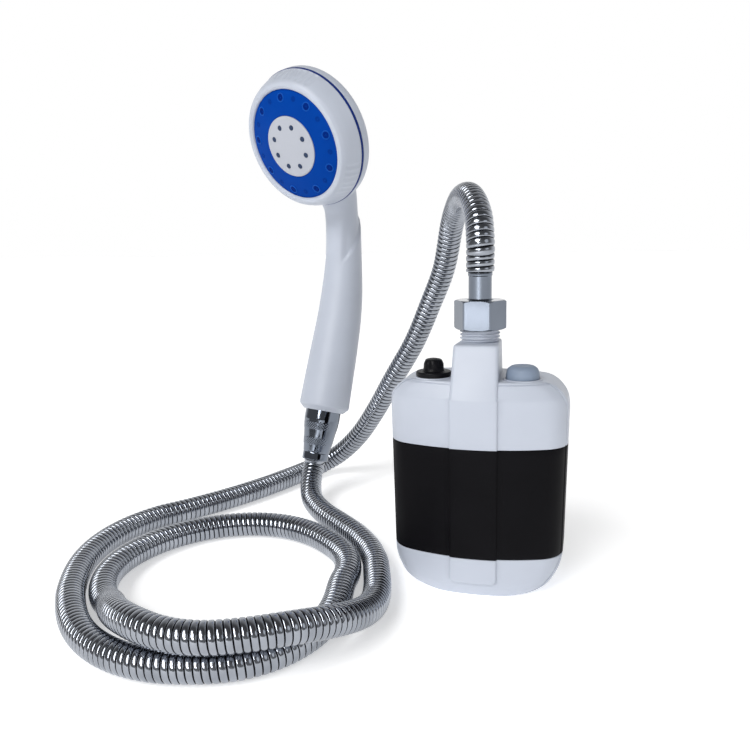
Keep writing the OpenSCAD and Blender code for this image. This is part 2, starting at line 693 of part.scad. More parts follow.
module outlet_washer() color([0.12, 0.12, 0.12]) translate([0, 0, spout_top]) ring(tube_d, flange_d, washer_t);

// Hose end piece: flange, plain sleeve and the spigot inside the hose
module ferrule(l) difference() {
    union() {
        cylinder(d = flange_d, h = flange_t);
        cylinder(d = ferrule_d, h = l);
        cylinder(d = spigot_d, h = l + spigot_l);
    }
    translate([0, 0, -1]) cylinder(d = ferrule_bore, h = l + spigot_l + 2);
}
module pump_ferrule() color([0.8, 0.81, 0.83]) translate([0, 0, ferrule_foot]) ferrule(ferrule_top - ferrule_foot);

module hose_rise() color([0.72, 0.73, 0.75]) hose_run(0, coil_first);
module hose_coil() color([0.72, 0.73, 0.75]) hose_run(coil_first, coil_last);
module hose_tail() color([0.72, 0.73, 0.75]) hose_run(coil_last, ring_n);

// Frame of the hand shower: Z up the handle, spray towards -Y
module hand() translate(hand_base) rotate([0, 0, -hand_yaw]) rotate([-hand_lean, 0, 0]) children();
// Frame of its head: Z from the spray face to the back
module head() hand() translate([0, -face_out, face_up]) rotate([-head_tilt, 0, 0]) children();

module hand_ferrule() color([0.8, 0.81, 0.83]) hand() translate([0, 0, spigot_foot - washer_t]) rotate([180, 0, 0])
    ferrule(spigot_foot - washer_t - hose_end_u);
module hand_washer() color([0.12, 0.12, 0.12]) hand() translate([0, 0, spigot_foot - washer_t]) ring(handle_bore, flange_d, washer_t);

cone_shelf = spigot_foot - washer_t - flange_t - 0.3;
cone_foot = 5;
cone_taper = 24;
band_l = 5;
band_raise = 0.5;
bands = [17, 28];
function cone_at(u) = cone_d0 + (cone_d1 - cone_d0)*(u + cone_l - cone_foot)/cone_taper;
module cone_nut() color([0.8, 0.81, 0.83]) hand() difference() {
    union() {
        translate([0, 0, -cone_l]) cylinder(d = cone_d0, h = cone_foot);
        translate([0, 0, -cone_l + cone_foot - eps]) cylinder(d1 = cone_d0, d2 = cone_d1, h = cone_taper);
        translate([0, 0, -cone_l + cone_foot + cone_taper - 2*eps]) cylinder(d = cone_d1, h = cone_l + cone_top - cone_foot - cone_taper + 2*eps);
        for (u = bands) translate([0, 0, -u]) cylinder(d1 = cone_at(-u) + band_raise, d2 = cone_at(band_l - u) + band_raise, h = band_l);
    }
    translate([0, 0, -cone_l - 1]) cylinder(d = hose_d + 1, h = cone_l + cone_shelf + 1);
    translate([0, 0, cone_shelf]) cylinder(d = thread_d + 2*run_gap, h = cone_top - cone_shelf + 1);
}

// The handle runs straight, tapers, then bends forward to the head
lip_l = 3.5;
lip_t = 1.2;
grip_l = 40;
grip_draft = 1.4;
taper_top = 84;
arm_foot = 70;
arm_depth = 27.2;
arm_front = face_out - arm_depth*sin(head_tilt);
arm_up = face_up + arm_depth*cos(head_tilt) - arm_foot;
arm_r = (arm_front*arm_front + arm_up*arm_up)/(2*arm_front);
arm_angle = atan2(arm_up, arm_r - arm_front) + 2.5;
module arm(d) translate([0, -arm_r, arm_foot]) rotate([90, 0, 90]) rotate_extrude(angle = arm_angle) translate([arm_r, 0]) circle(d = d);

dome_r = (head_d*head_d/4 + dome_h*dome_h)/(2*dome_h);
bezel_back = bezel_h - 2.5;
seam_z = bezel_back + 0.4;
seam_t = 1.5;
rim_z = seam_z + seam_t;
rim_h = 6;
dome_foot = rim_z + rim_h;
module head_dome(i) {
    translate([0, 0, rim_z]) cylinder(d = head_d - 2*i, h = rim_h + eps);
    intersection() {
        translate([0, 0, dome_foot + dome_h - dome_r]) sphere(dome_r - i);
        translate([0, 0, dome_foot]) cylinder(d = head_d - 2*i, h = dome_h);
    }
}
plate_z = rim_z + 2;
plate_t = 2.5;
stem_pin_d = 8;
pivot_d = 15;
pivot_foot = bezel_back - 3;
diverter_t = 4;
module handle() color("white") difference() {
    union() {
        hand() {
            translate([0, 0, -lip_l]) cylinder(d1 = cone_d1 + 2*run_gap + 2*lip_t, d2 = handle_d, h = lip_l + eps);
            cylinder(d1 = handle_d, d2 = handle_d - grip_draft, h = grip_l);
            translate([0, 0, grip_l - eps]) cylinder(d1 = handle_d - grip_draft, d2 = neck_d + 2, h = taper_top - grip_l + eps);
            arm(neck_d);
            translate([0, 0, spigot_foot]) cylinder(d = spout_core, h = skirt_l - spigot_foot + 1);
            thread_rows(spigot_foot, spigot_foot + 12);
        }
        head() {
            head_dome(0);
            translate([0, 0, pivot_foot]) cylinder(d = pivot_d, h = plate_z - pivot_foot + 1);
        }
    }
    hand() {
        difference() {
            union() {
                translate([0, 0, -lip_l - 1]) cylinder(d = cone_d1 + 2*run_gap, h = lip_l + 1 + eps);
                cylinder(d = handle_d - 2*head_wall, h = skirt_l);
            }
            translate([0, 0, -lip_l - 2]) cylinder(d = thread_d + eps, h = skirt_l + lip_l + 4);
        }
        translate([0, 0, spigot_foot - 1]) cylinder(d = handle_bore, h = arm_foot - spigot_foot + 1 + eps);
        arm(handle_bore);
    }
    head() {
        difference() {
            head_dome(head_wall);
            translate([0, 0, plate_z]) cylinder(d = head_d, h = plate_t);
            translate([0, 0, pivot_foot]) cylinder(d = pivot_d, h = plate_z - pivot_foot + 1);
        }
        translate([0, 0, rim_z - 4]) difference() {
            cylinder(d = head_d - 2*head_wall, h = 4 + eps);
            translate([0, 0, -8]) cylinder(d = pivot_d, h = 14);
        }
        translate([0, 0, pivot_foot - 1]) cylinder(d = stem_pin_d + 2*shaft_gap, h = plate_z + plate_t - pivot_foot);
        for (k = [0:2]) rotate(120*k + 90) translate([head_d*0.2, 0, plate_z - 1]) cylinder(d = 7, h = plate_t + 2);
    }
}

module seam_ring() color([0.12, 0.2, 0.5]) head() translate([0, 0, seam_z]) ring(head_d - 2*head_wall - 6, head_d - 0.7, seam_t);

// Turning bezel that widens from the spray face to the seam, with grip flutes
bezel_w = head_d/2 - face_d/2 - fix_gap;
flute_d = 3;
flute_depth = 0.5;
flute_tilt = atan(0.38*bezel_w/(bezel_back - 2));
function rim_at(share, z) = [face_d/2 + fix_gap + share*bezel_w, z];
module bezel() color("white") head() difference() {
    rotate_extrude() polygon([rim_at(0, 4), rim_at(0, -1), rim_at(0.09, -2.3), rim_at(0.24, -3), rim_at(0.42, -2),
        rim_at(0.58, 1.5), rim_at(0.73, 5), rim_at(0.96, bezel_back - 0.5), rim_at(0.95, bezel_back),
        rim_at(0.7, bezel_back), rim_at(0.25, 4)]);
    for (g = [0:2]) for (k = [-3:3]) rotate(120*g + 44 + 6*k)
        translate([rim_at(0.58, 0)[0] + flute_d/2 - flute_depth, 0, 1.5]) rotate([0, flute_tilt, 0])
            translate([0, 0, -6]) cylinder(d = flute_d, h = bezel_h + 8);
}

// Bulged spray face: blue ring with ringed jets and small jets between, white middle
jets = 9;
jet_r = centre_d/2 + 0.35*(face_d - centre_d);
hole_r = 0.34*centre_d;
crown_r = (face_d*face_d/4 + face_crown*face_crown)/(2*face_crown);
function crown_z(r) = crown_r - face_crown - sqrt(crown_r*crown_r - r*r);
module crowned(d, rise) rotate_extrude() intersection() {
    translate([0, crown_r - face_crown - rise]) circle(crown_r, $fn = 720);
    translate([0, -face_crown - 1]) square([d/2, face_crown + 4]);
}
module spray_ring() color([0.1, 0.3, 0.8]) head() difference() {
    union() {
        crowned(face_d, 0);
        for (k = [0:jets-1]) rotate(360*k/jets - 8) translate([jet_r, 0, crown_z(jet_r) - 0.8]) cylinder(d = 5.4, h = 2);
    }
    translate([0, 0, -face_crown - 2]) cylinder(d = centre_d + 2*fix_gap, h = face_crown + 6);
    for (k = [0:jets-1]) {
        rotate(360*k/jets - 8) translate([jet_r, 0, crown_z(jet_r)]) {
            translate([0, 0, -1]) cylinder(d = 3.6, h = 1);
            translate([0, 0, -2]) cylinder(d = 1.6, h = 8);
        }
        rotate(360*k/jets + 12) translate([jet_r, 0, -face_crown]) cylinder(d = 1.8, h = 9);
    }
}
module centre_disc() color("white") head() difference() {
    crowned(centre_d, 0.4);
    for (k = [0:7]) rotate(45*k + 27) translate([hole_r, 0, -face_crown - 2]) cylinder(d = 2.4, h = face_crown + 6);
}
module selector_plate() color([0.2, 0.2, 0.22]) head() {
    difference() {
        translate([0, 0, 3]) cylinder(d = face_d, h = 3);
        for (k = [0:2]) rotate(120*k + 30) translate([centre_d/2 + 6, 0, 2]) cylinder(d = 6, h = 5);
    }
    translate([0, 0, 6 - eps]) cylinder(d = stem_pin_d, h = plate_z - 6);
}
module stem_ring() color([0.12, 0.12, 0.12]) head() translate([0, 0, 6]) ring(stem_pin_d + 2*fix_gap, pivot_d, pivot_foot - 6 - run_gap);
module diverter_disc() color([0.15, 0.15, 0.15]) head() difference() {
    translate([0, 0, plate_z - diverter_t]) ring(pivot_d + 2*fix_gap, head_d*0.62, diverter_t);
    for (k = [0:2]) rotate(120*k + 90) translate([head_d*0.2, 0, plate_z - diverter_t - 1]) cylinder(d = 7, h = diverter_t + 2);
}

bottom_shell();
middle_shell();
top_shell();
lower_seal();
upper_seal();
base_screw_1();
base_screw_2();
base_screw_3();
base_screw_4();
intake_grille();
intake_sponge();
volute();
volute_cover();
impeller();
motor_shaft();
shaft_seal();
motor();
delivery_tube();
tube_ring();
cell_left();
cell_right();
inner_frame();
control_board();
switch_body();
charge_socket();
port_plug();
power_button();
hose_nut();
thrust_ring();
outlet_washer();
pump_ferrule();
hose_rise();
hose_coil();
hose_tail();
hand_ferrule();
cone_nut();
hand_washer();
handle();
seam_ring();
bezel();
spray_ring();
centre_disc();
selector_plate();
stem_ring();
diverter_disc();
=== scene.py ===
# %% [markdown]
# This lesson dresses a camp shower pump: a small battery pump that stands in a
# bucket, a ribbed metal hose and a hand shower. Its pieces could be modelled
# from nothing, but a solid model of them exists. It comes in first, in metres,
# and the pieces made here share its sizes and places.

# %% Load the solid model
import json
import math

import bmesh
import bpy
import numpy as np
from mathutils import Matrix, Vector

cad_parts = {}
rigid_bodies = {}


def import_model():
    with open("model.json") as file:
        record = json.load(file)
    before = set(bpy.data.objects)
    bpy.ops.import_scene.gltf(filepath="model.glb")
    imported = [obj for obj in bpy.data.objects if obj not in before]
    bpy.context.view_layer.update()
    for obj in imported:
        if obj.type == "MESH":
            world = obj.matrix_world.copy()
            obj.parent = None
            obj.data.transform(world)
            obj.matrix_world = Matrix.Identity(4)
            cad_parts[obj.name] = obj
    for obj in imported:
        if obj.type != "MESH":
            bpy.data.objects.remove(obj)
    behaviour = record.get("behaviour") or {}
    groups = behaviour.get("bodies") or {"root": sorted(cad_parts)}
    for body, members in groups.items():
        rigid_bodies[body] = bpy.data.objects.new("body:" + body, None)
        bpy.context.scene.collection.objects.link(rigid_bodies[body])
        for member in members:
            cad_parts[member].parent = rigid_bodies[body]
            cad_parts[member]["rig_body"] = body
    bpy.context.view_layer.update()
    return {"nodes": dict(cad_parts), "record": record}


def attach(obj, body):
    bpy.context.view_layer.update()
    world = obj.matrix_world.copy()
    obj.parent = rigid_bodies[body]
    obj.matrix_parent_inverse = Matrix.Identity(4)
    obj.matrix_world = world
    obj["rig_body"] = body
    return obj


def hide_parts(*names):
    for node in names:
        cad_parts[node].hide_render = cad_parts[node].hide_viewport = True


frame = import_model()
nodes = frame["nodes"]
MM = 0.001

# %% [markdown]
# The photograph was taken from a little above the pump, with the camera turned
# a sixth of a right angle to its left. A camera could be aimed by a tracking
# constraint, which keeps it level. Here its three directions are written into
# a matrix, because that keeps the small tilt of a hand-held shot.

# %% Camera
AZIMUTH, PITCH, ROLL = (math.radians(a) for a in (15.0, 10.2, 1.1))
LENS_MM, SENSOR_MM, NEAREST = 38.4, 36.0, 0.01
CAMERA_PLACE = (0.054, -0.415, 0.1885)


def put_in_scene(name, data):
    thing = bpy.data.objects.new(name, data)
    bpy.context.scene.collection.objects.link(thing)
    return thing


level = Vector((math.cos(AZIMUTH), math.sin(AZIMUTH), 0))
ahead = Vector((-math.sin(AZIMUTH), math.cos(AZIMUTH), 0))
look = ahead * math.cos(PITCH) - Vector((0, 0, math.sin(PITCH)))
rise = level.cross(look)
right = level * math.cos(ROLL) - rise * math.sin(ROLL)
up = rise * math.cos(ROLL) + level * math.sin(ROLL)
camera_data = bpy.data.cameras.new("photo_camera")
camera_data.lens, camera_data.sensor_width = LENS_MM, SENSOR_MM
camera_data.sensor_fit = "HORIZONTAL"
camera_data.clip_start = NEAREST
camera = put_in_scene("photo_camera", camera_data)
camera.matrix_world = Matrix((right, up, -look)).transposed().to_4x4()
camera.location = CAMERA_PLACE
bpy.context.scene.camera = camera
print("camera looks along", [round(v, 3) for v in look])

# %% [markdown]
# The hose leaves the ferrule straight up, bends over, comes down behind the
# pump, winds on the floor and climbs to the hand shower. It could be drawn as
# a curve by eye. Its line is the solid model's own instead, so that both
# agree. The coil comes first: a radius that changes in steps as it turns.

# %% Rule of the coil
LAY_Z, CROSSING = 7.6, 15.8
COIL_X, COIL_Y, COIL_R = -128, -38, 112.0
COIL_FROM, COIL_TO, COIL_POINTS = 140.0, 745.0, 600
COIL_STEPS = [(-27.5, 120, 210), (13.5, 215, 278), (-36.5, 290, 362), (9, 405, 470),
              (-2, 475, 530), (35, 588, 650), (-26.5, 662, 736)]


def ease(a, b, t):
    u = np.clip((t - a) / (b - a), 0, 1)
    return u * u * (3 - 2 * u)


def coil_point(degrees):
    r = COIL_R + sum(change * ease(a, b, degrees) for change, a, b in COIL_STEPS)
    z = LAY_Z + CROSSING * ease(580, 632, degrees) * (1 - ease(662, 712, degrees))
    a = np.radians(degrees)
    return np.stack([COIL_X + r * np.cos(a), COIL_Y + r * np.sin(a), z + 0 * a], -1)


print("coil turns", round((COIL_TO - COIL_FROM) / 360, 2), "times")

# %% [markdown]
# The rise and the tail aren't coiled, so no rule fits them. They could be
# simulated as a hanging chain. A short list of points, read off the photograph
# and joined by a smooth curve, follows the real bends more closely.

# %% Route of the hose
HOSE_D, HOSE_TUCK, CURVE_STEPS = 14.8, 26, 12
HAND_FOOT, HAND_TURN, HAND_LEAN = (-127, 118, 65.5), math.radians(-25), math.radians(-17)
hand = Matrix.Translation(HAND_FOOT) @ Matrix.Rotation(HAND_TURN, 4, "Z") @ Matrix.Rotation(HAND_LEAN, 4, "X")
HAND_AXIS = np.array(hand)[:3, 2]
HOSE_END = np.array(HAND_FOOT) - HOSE_TUCK * HAND_AXIS


def through(points, n):
    q = np.vstack([2 * points[0] - points[1], points, 2 * points[-1] - points[-2]])
    t = (np.arange(n) / n)[:, None]
    runs = [0.5 * (2 * b + (c - a) * t + (2 * a - 5 * b + 4 * c - d) * t**2 + (3 * b - a - 3 * c + d) * t**3)
            for a, b, c, d in zip(q, q[1:], q[2:], q[3:])]
    return np.vstack(runs + [points[-1:]])


rise_points = np.vstack([
    [(0, 0, 167), (0, 0, 174.4), (0, 0, 181.8), (-2, 7, 195), (-8, 24, 205), (-15, 45, 207), (-22, 67, 203),
     (-29, 86, 191), (-37, 103, 164), (-48, 114, 140), (-62, 126, 112), (-80, 138, 84), (-97, 150, 57),
     (-113, 160, 35), (-129, 165, 19), (-143, 161, 10), (-152, 147, LAY_Z), (-160, 124, LAY_Z),
     (-171, 97, LAY_Z), (-185, 70, LAY_Z), (-199, 48, LAY_Z)],
    coil_point(COIL_FROM)])
tail_points = np.vstack([
    coil_point(COIL_TO),
    [(-65, 8, LAY_Z), (-77, 25, LAY_Z), (-91, 40, LAY_Z), (-105, 54, LAY_Z), (-117, 69, LAY_Z),
     (-126, 83, 9), (-131, 96, 15)],
    [HOSE_END - h * HOSE_D * HAND_AXIS for h in (1.2, 0.87, 0.5, 0)]])
coil = coil_point(np.linspace(COIL_FROM, COIL_TO, COIL_POINTS))
rise_run, tail_run = through(rise_points, CURVE_STEPS), through(tail_points, CURVE_STEPS)
hose_line = np.vstack([rise_run, coil[1:], tail_run[1:]]) * MM
hose_run = np.concatenate([[0], np.cumsum(np.linalg.norm(np.diff(hose_line, axis=0), axis=1))])
HOSE_LENGTH = float(hose_run[-1])
print("hose is", round(HOSE_LENGTH, 3), "m along", len(hose_line), "points")

# %% [markdown]
# The hose is a steel strip wound round and round, each turn hooked over the
# last, so its ribs aren't rings but one long screw. A bump map could fake the
# ribs, but their outline would stay smooth. Here the tube is a grid of rows
# that lean by one pitch in each turn, and each rib is a round bead.

# %% Winding of the hose
SIDES, RIB_PITCH, RIB_DEPTH = 28, 3.25, 0.74
bead_at = [0.04, 0.08, 0.125, 0.2, 0.34]
bead_drop = [0.70, 0.46, 0.26, 0.13, 0.035]
rib_u = np.array([0, *bead_at, 0.5, *(1 - u for u in bead_at[::-1])])
rib_drop = np.array([RIB_DEPTH, *bead_drop, 0, *bead_drop[::-1]]) * MM
RIBS = round(HOSE_LENGTH / (RIB_PITCH * MM))
PER = len(rib_u)
rib_step = HOSE_LENGTH / RIBS
rows = np.arange(-PER, RIBS * PER + 1)
row_s = rib_step * (rows // PER + rib_u[rows % PER])
row_r = HOSE_D / 2 * MM - rib_drop[rows % PER]
theta = 2 * np.pi * np.arange(SIDES) / SIDES
spot_s = np.clip(row_s[:, None] + rib_step * theta[None] / (2 * np.pi), 0, HOSE_LENGTH)
print("winding has", RIBS, "ribs,", round(rib_step / MM, 3), "mm apart")

# %% [markdown]
# A tube needs two directions across its line at every point. Worked out from
# the bend alone they would flip where the hose straightens, so they are
# carried along instead. The last column of the grid joins the row one pitch
# further on, and that makes the winding a true one with no seam.


# %% Hose mesh
def unit(v):
    return v / np.linalg.norm(v, axis=-1, keepdims=True)


def carry_frames(line):
    along = unit(np.gradient(line, axis=0))
    side = np.zeros_like(line)
    s = np.array((1.0, 0, 0))
    for i, d in enumerate(along):
        s = unit(s - s.dot(d) * d)
        side[i] = s
    return along, side


def at_spots(table):
    return np.stack([np.interp(spot_s, hose_run, table[:, k]) for k in range(3)], -1)


def wound_faces(n, m, per):
    i = np.arange(n * m).reshape(n, m)
    a, b = i[:-per - 1], i[1:-per]
    next_a, next_b = np.hstack([a[:, 1:], i[per:-1, :1]]), np.hstack([b[:, 1:], i[per + 1:, :1]])
    return np.stack([a, next_a, next_b, b], -1).reshape(-1, 4)


def new_mesh(name, verts, faces, smooth=True):
    mesh = bpy.data.meshes.new(name)
    mesh.from_pydata([tuple(v) for v in verts], [], [tuple(f) for f in faces])
    mesh.validate()
    if smooth:
        mesh.polygons.foreach_set("use_smooth", [True] * len(mesh.polygons))
    return put_in_scene(name, mesh)


along, side = carry_frames(hose_line)
tangent, across = unit(at_spots(along)), at_spots(side)
across = unit(across - (across * tangent).sum(-1, keepdims=True) * tangent)
over = np.cross(tangent, across)
hose_out = np.cos(theta)[None, :, None] * across + np.sin(theta)[None, :, None] * over
hose_verts = at_spots(hose_line) + row_r[:, None, None] * hose_out
hose = new_mesh("ribbed_hose", hose_verts.reshape(-1, 3), wound_faces(len(rows), SIDES, PER))
print("hose has", len(hose.data.polygons), "faces")

# %% [markdown]
# At its two ends the rows of the winding fall on one another, so they are welded. The faces deep between two
# ribs get a second material slot, painted near black: painted shade makes them darker than the beads. Last,
# the hose rides on the pump's body and the solid hose is hidden.


def weld(mesh, reach, turn_out=False):
    work = bmesh.new()
    work.from_mesh(mesh)
    bmesh.ops.remove_doubles(work, verts=work.verts, dist=reach)
    if turn_out:
        bmesh.ops.recalc_face_normals(work, faces=work.faces)
    work.to_mesh(mesh)
    work.free()


# Rows deep between the ribs take the second slot, painted near black as painted shade.
deep = np.isin(rows[:-PER - 1] % PER, (0, 1, PER - 2, PER - 1))
hose.data.polygons.foreach_set("material_index", np.repeat(deep.astype(int), SIDES).tolist())
weld(hose.data, 1e-7)
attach(hose, "pump")
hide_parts("hose_rise", "hose_coil", "hose_tail")
print("cord of", round(HOSE_LENGTH, 3), "m,", int(deep.sum()), "rows lie in its grooves")

# %% [markdown]
# Moulded plastic, plated metal and rubber are never one flat colour. The same
# few nodes could be wired into every material by hand. A shader group holds
# them once, with its own inputs and outputs, and these helpers wire a group.


# %% Wiring helpers
def join(tree, value, socket):
    if isinstance(value, bpy.types.NodeSocket):
        tree.links.new(value, socket)
    else:
        socket.default_value = value


def feed(tree, node, **values):
    for label, value in values.items():
        join(tree, value, node.inputs[label.replace("_", " ")])


def new_group(name, inputs, outputs):
    group = bpy.data.node_groups.new(name, "ShaderNodeTree")
    for label, kind, value in inputs:
        socket = group.interface.new_socket(label, in_out="INPUT", socket_type=kind)
        socket.default_value = value
    for label, kind in outputs:
        group.interface.new_socket(label, in_out="OUTPUT", socket_type=kind)
    return group, group.nodes.new("NodeGroupInput"), group.nodes.new("NodeGroupOutput")


def noise_in(tree, place, scale, detail, rough=0.5):
    noise = tree.nodes.new("ShaderNodeTexNoise")
    feed(tree, noise, Vector=place, Scale=scale, Detail=detail, Roughness=rough)
    return noise.outputs["Fac"]


def map_in(tree, value, seen, low, high, kind="LINEAR"):
    spread = tree.nodes.new("ShaderNodeMapRange")
    spread.interpolation_type = kind
    feed(tree, spread, Value=value, From_Min=seen[0], From_Max=seen[1], To_Min=low, To_Max=high)
    return spread.outputs["Result"]


def sum_in(tree, kind, first, second):
    step = tree.nodes.new("ShaderNodeMath")
    step.operation = kind
    join(tree, first, step.inputs[0])
    join(tree, second, step.inputs[1])
    return step.outputs[0]


print("wiring helpers ready")

# %% [markdown]
# On a real moulding the tint drifts a little, the gloss changes where hands
# touch it and the skin has a faint ripple from the mould. A painted picture
# could show that. Two noises, one broad and one fine, do it at any distance
# and need no picture. One group puts out colour, roughness and height.

# %% Surface groups
NOISE_SPAN = (0.3, 0.7)


def surface_group(name, drift_scale, fine_scale, stretch=(1, 1, 1)):
    group, given, made = new_group(
        name,
        [("Light", "NodeSocketColor", (1, 1, 1, 1)), ("Dark", "NodeSocketColor", (0.8, 0.8, 0.8, 1)),
         ("Smooth", "NodeSocketFloat", 0.2), ("Rough", "NodeSocketFloat", 0.35)],
        [("Colour", "NodeSocketColor"), ("Roughness", "NodeSocketFloat"), ("Height", "NodeSocketFloat")])
    coords = group.nodes.new("ShaderNodeTexCoord")
    mapping = group.nodes.new("ShaderNodeMapping")
    feed(group, mapping, Vector=coords.outputs["Object"], Scale=stretch)
    drift = noise_in(group, mapping.outputs["Vector"], drift_scale, 3)
    fine = noise_in(group, mapping.outputs["Vector"], fine_scale, 4, 0.6)
    tint = group.nodes.new("ShaderNodeMix")
    tint.data_type = "RGBA"
    feed(group, tint, Factor=map_in(group, drift, NOISE_SPAN, 0.0, 1.0),
         A=given.outputs["Light"], B=given.outputs["Dark"])
    middle = sum_in(group, "MULTIPLY", sum_in(group, "ADD", drift, fine), 0.5)
    gloss = map_in(group, middle, NOISE_SPAN, given.outputs["Smooth"], given.outputs["Rough"])
    feed(group, made, Colour=tint.outputs["Result"], Roughness=gloss, Height=fine)
    return group


moulded = surface_group("moulded_skin", 45, 1500)
polished = surface_group("polished_metal", 90, 2600, (1, 1, 0.35))
rubbery = surface_group("rubber_skin", 120, 3500)
print("groups", [g.name for g in bpy.data.node_groups])

# %% [markdown]
# A finish is one Principled shader fed by a group. Every value could come out
# of the group. What is the same all over, such as the metal's Metallic, is set
# on the shader's own socket, so that it also survives in the exported model.

# %% Finish helper
RIPPLE = 0.2 * MM


def finish(name, group, light, dark, rough, bump, metallic=0.0, **even):
    paint = bpy.data.materials.new(name)
    paint.use_nodes = True
    tree = paint.node_tree
    shader = tree.nodes["Principled BSDF"]
    skin = tree.nodes.new("ShaderNodeGroup")
    skin.node_tree = group
    feed(tree, skin, Light=(*light, 1), Dark=(*dark, 1), Smooth=rough[0], Rough=rough[1])
    ripple = tree.nodes.new("ShaderNodeBump")
    feed(tree, ripple, Strength=bump, Distance=RIPPLE, Height=skin.outputs["Height"])
    feed(tree, shader, Base_Color=skin.outputs["Colour"], Roughness=skin.outputs["Roughness"],
         Normal=ripple.outputs["Normal"], Metallic=metallic, **even)
    return paint


print("finish helper ready, ripple", RIPPLE, "m")

# %% [markdown]
# The casing and handle are white plastic with a satin sheen, the band is black
# and the spray face blue. Plug, button and nozzles are rubber or silicone. One
# white could serve everywhere, but the middle of the spray face is greyer.

# %% Plastics and rubbers
white_abs = finish("white_abs", moulded,
    (0.474, 0.510, 0.585), (0.458, 0.492, 0.566), (0.38, 0.50), 0.05, Coat_Weight=0.05, Coat_Roughness=0.2)
white_face = finish("white_face", moulded,
    (0.425, 0.446, 0.500), (0.410, 0.430, 0.483), (0.40, 0.52), 0.05)
black_abs = finish("black_abs", moulded,
    (0.0030, 0.0028, 0.0038), (0.0040, 0.0038, 0.0050), (0.42, 0.55), 0.1, Specular_IOR_Level=0.07)
black_rubber = finish("black_rubber", rubbery,
    (0.003, 0.003, 0.0045), (0.005, 0.005, 0.007), (0.3, 0.45), 0.2, Specular_IOR_Level=0.12)
grey_silicone = finish("grey_silicone", rubbery,
    (0.215, 0.268, 0.355), (0.196, 0.246, 0.327), (0.5, 0.65), 0.12)
nozzle_rubber = finish("nozzle_rubber", rubbery,
    (0.032, 0.050, 0.100), (0.027, 0.043, 0.086), (0.45, 0.6), 0.12, Specular_IOR_Level=0.12)
blue_abs = finish("blue_abs", moulded,
    (0.0006, 0.046, 0.300), (0.0006, 0.041, 0.275), (0.34, 0.46), 0.08, Specular_IOR_Level=0.02)
# The next three blues are painted light on the jets: a deeper blue as painted shade in the big jets' hollows,
# a softer blue as painted shade in the small jets, and a lighter blue as a painted highlight on the big jets'
# rims.
blue_deep_painted_shade = finish("blue_deep_painted_shade", rubbery,
    (0.0006, 0.020, 0.180), (0.0006, 0.017, 0.160), (0.4, 0.55), 0.1, Specular_IOR_Level=0.02)
blue_soft_painted_shade = finish("blue_soft_painted_shade", rubbery,
    (0.0006, 0.034, 0.240), (0.0006, 0.030, 0.215), (0.4, 0.55), 0.1, Specular_IOR_Level=0.02)
blue_painted_highlight = finish("blue_painted_highlight", moulded,
    (0.005, 0.082, 0.42), (0.004, 0.075, 0.385), (0.34, 0.46), 0.08, Specular_IOR_Level=0.06)
seam_blue = finish("seam_blue", moulded,
    (0.007, 0.026, 0.17), (0.006, 0.022, 0.14), (0.3, 0.45), 0.08, Specular_IOR_Level=0.1)
print("plastics and rubbers", len(bpy.data.materials))

# %% [markdown]
# The nuts and ferrules are chromed and the hose is steel; its grooves are painted nearly black as painted
# shade. Metal could be a grey plastic with a strong shine, but only a Metallic of one mirrors its
# surroundings in its own tint. The works inside the pump get plain finishes, for a pose or a cut that shows
# them.

# %% Metals and works
chrome = finish("chrome_plate", polished,
    (0.190, 0.214, 0.256), (0.163, 0.184, 0.220), (0.04, 0.10), 0.02, 1.0)
hose_crest = finish("hose_steel", polished,
    (0.36, 0.382, 0.424), (0.275, 0.294, 0.330), (0.10, 0.20), 0.04, 1.0)
# Painted shade: near black for the faces deep between the hose's ribs.
hose_groove_painted_shade = finish("hose_groove_painted_shade", polished,
    (0.010, 0.010, 0.012), (0.006, 0.006, 0.008), (0.4, 0.6), 0.1, 1.0)
plain_steel = finish("plain_steel", polished,
    (0.56, 0.56, 0.57), (0.46, 0.46, 0.48), (0.28, 0.42), 0.1, 1.0)
works_plastic = finish("works_plastic", moulded,
    (0.52, 0.54, 0.57), (0.46, 0.48, 0.51), (0.4, 0.55), 0.15)
foam = finish("filter_foam", rubbery,
    (0.03, 0.03, 0.033), (0.05, 0.05, 0.055), (0.8, 0.95), 0.9)
board_green = finish("board_green", moulded,
    (0.02, 0.10, 0.05), (0.015, 0.08, 0.04), (0.3, 0.45), 0.1)
cell_blue = finish("cell_wrap", moulded,
    (0.04, 0.16, 0.38), (0.03, 0.13, 0.33), (0.25, 0.4), 0.08)
print("finishes", len(bpy.data.materials))

# %% [markdown]
# Every solid has a slot that says what it is made of. Its finish could be
# chosen piece by piece, but one table from slot to finish dresses them all,
# and pieces of one material always match.

# %% Dress the solids
by_slot = {"white_shell": white_abs, "black_band": black_abs, "seal_rubber": black_rubber,
           "plug_rubber": black_rubber, "button_silicone": grey_silicone, "screw_steel": plain_steel,
           "sponge": foam, "pump_plastic": works_plastic, "impeller_plastic": works_plastic,
           "motor_can": plain_steel, "tube_plastic": works_plastic, "cell_wrap": cell_blue,
           "board": board_green, "socket_metal": plain_steel, "chrome": chrome, "hose_metal": hose_crest,
           "blue_face": blue_abs, "seam_blue": seam_blue}
slot_of = {entry["node"]: entry["material_slot"] for entry in frame["record"]["subparts"]}
for node, slot in slot_of.items():
    nodes[node].data.materials.clear()
    nodes[node].data.materials.append(by_slot[slot])
hose.data.materials.append(hose_crest)
hose.data.materials.append(hose_groove_painted_shade)
print("dressed", len(slot_of), "solids")

# %% [markdown]
# Most of the shower's pieces are turned on a lathe or moulded round. The Screw
# modifier could spin an outline. A formula spins it here, because that can
# press flutes or flats into it. The outline is drawn with straight corners,
# and each is then rounded by its own radius.


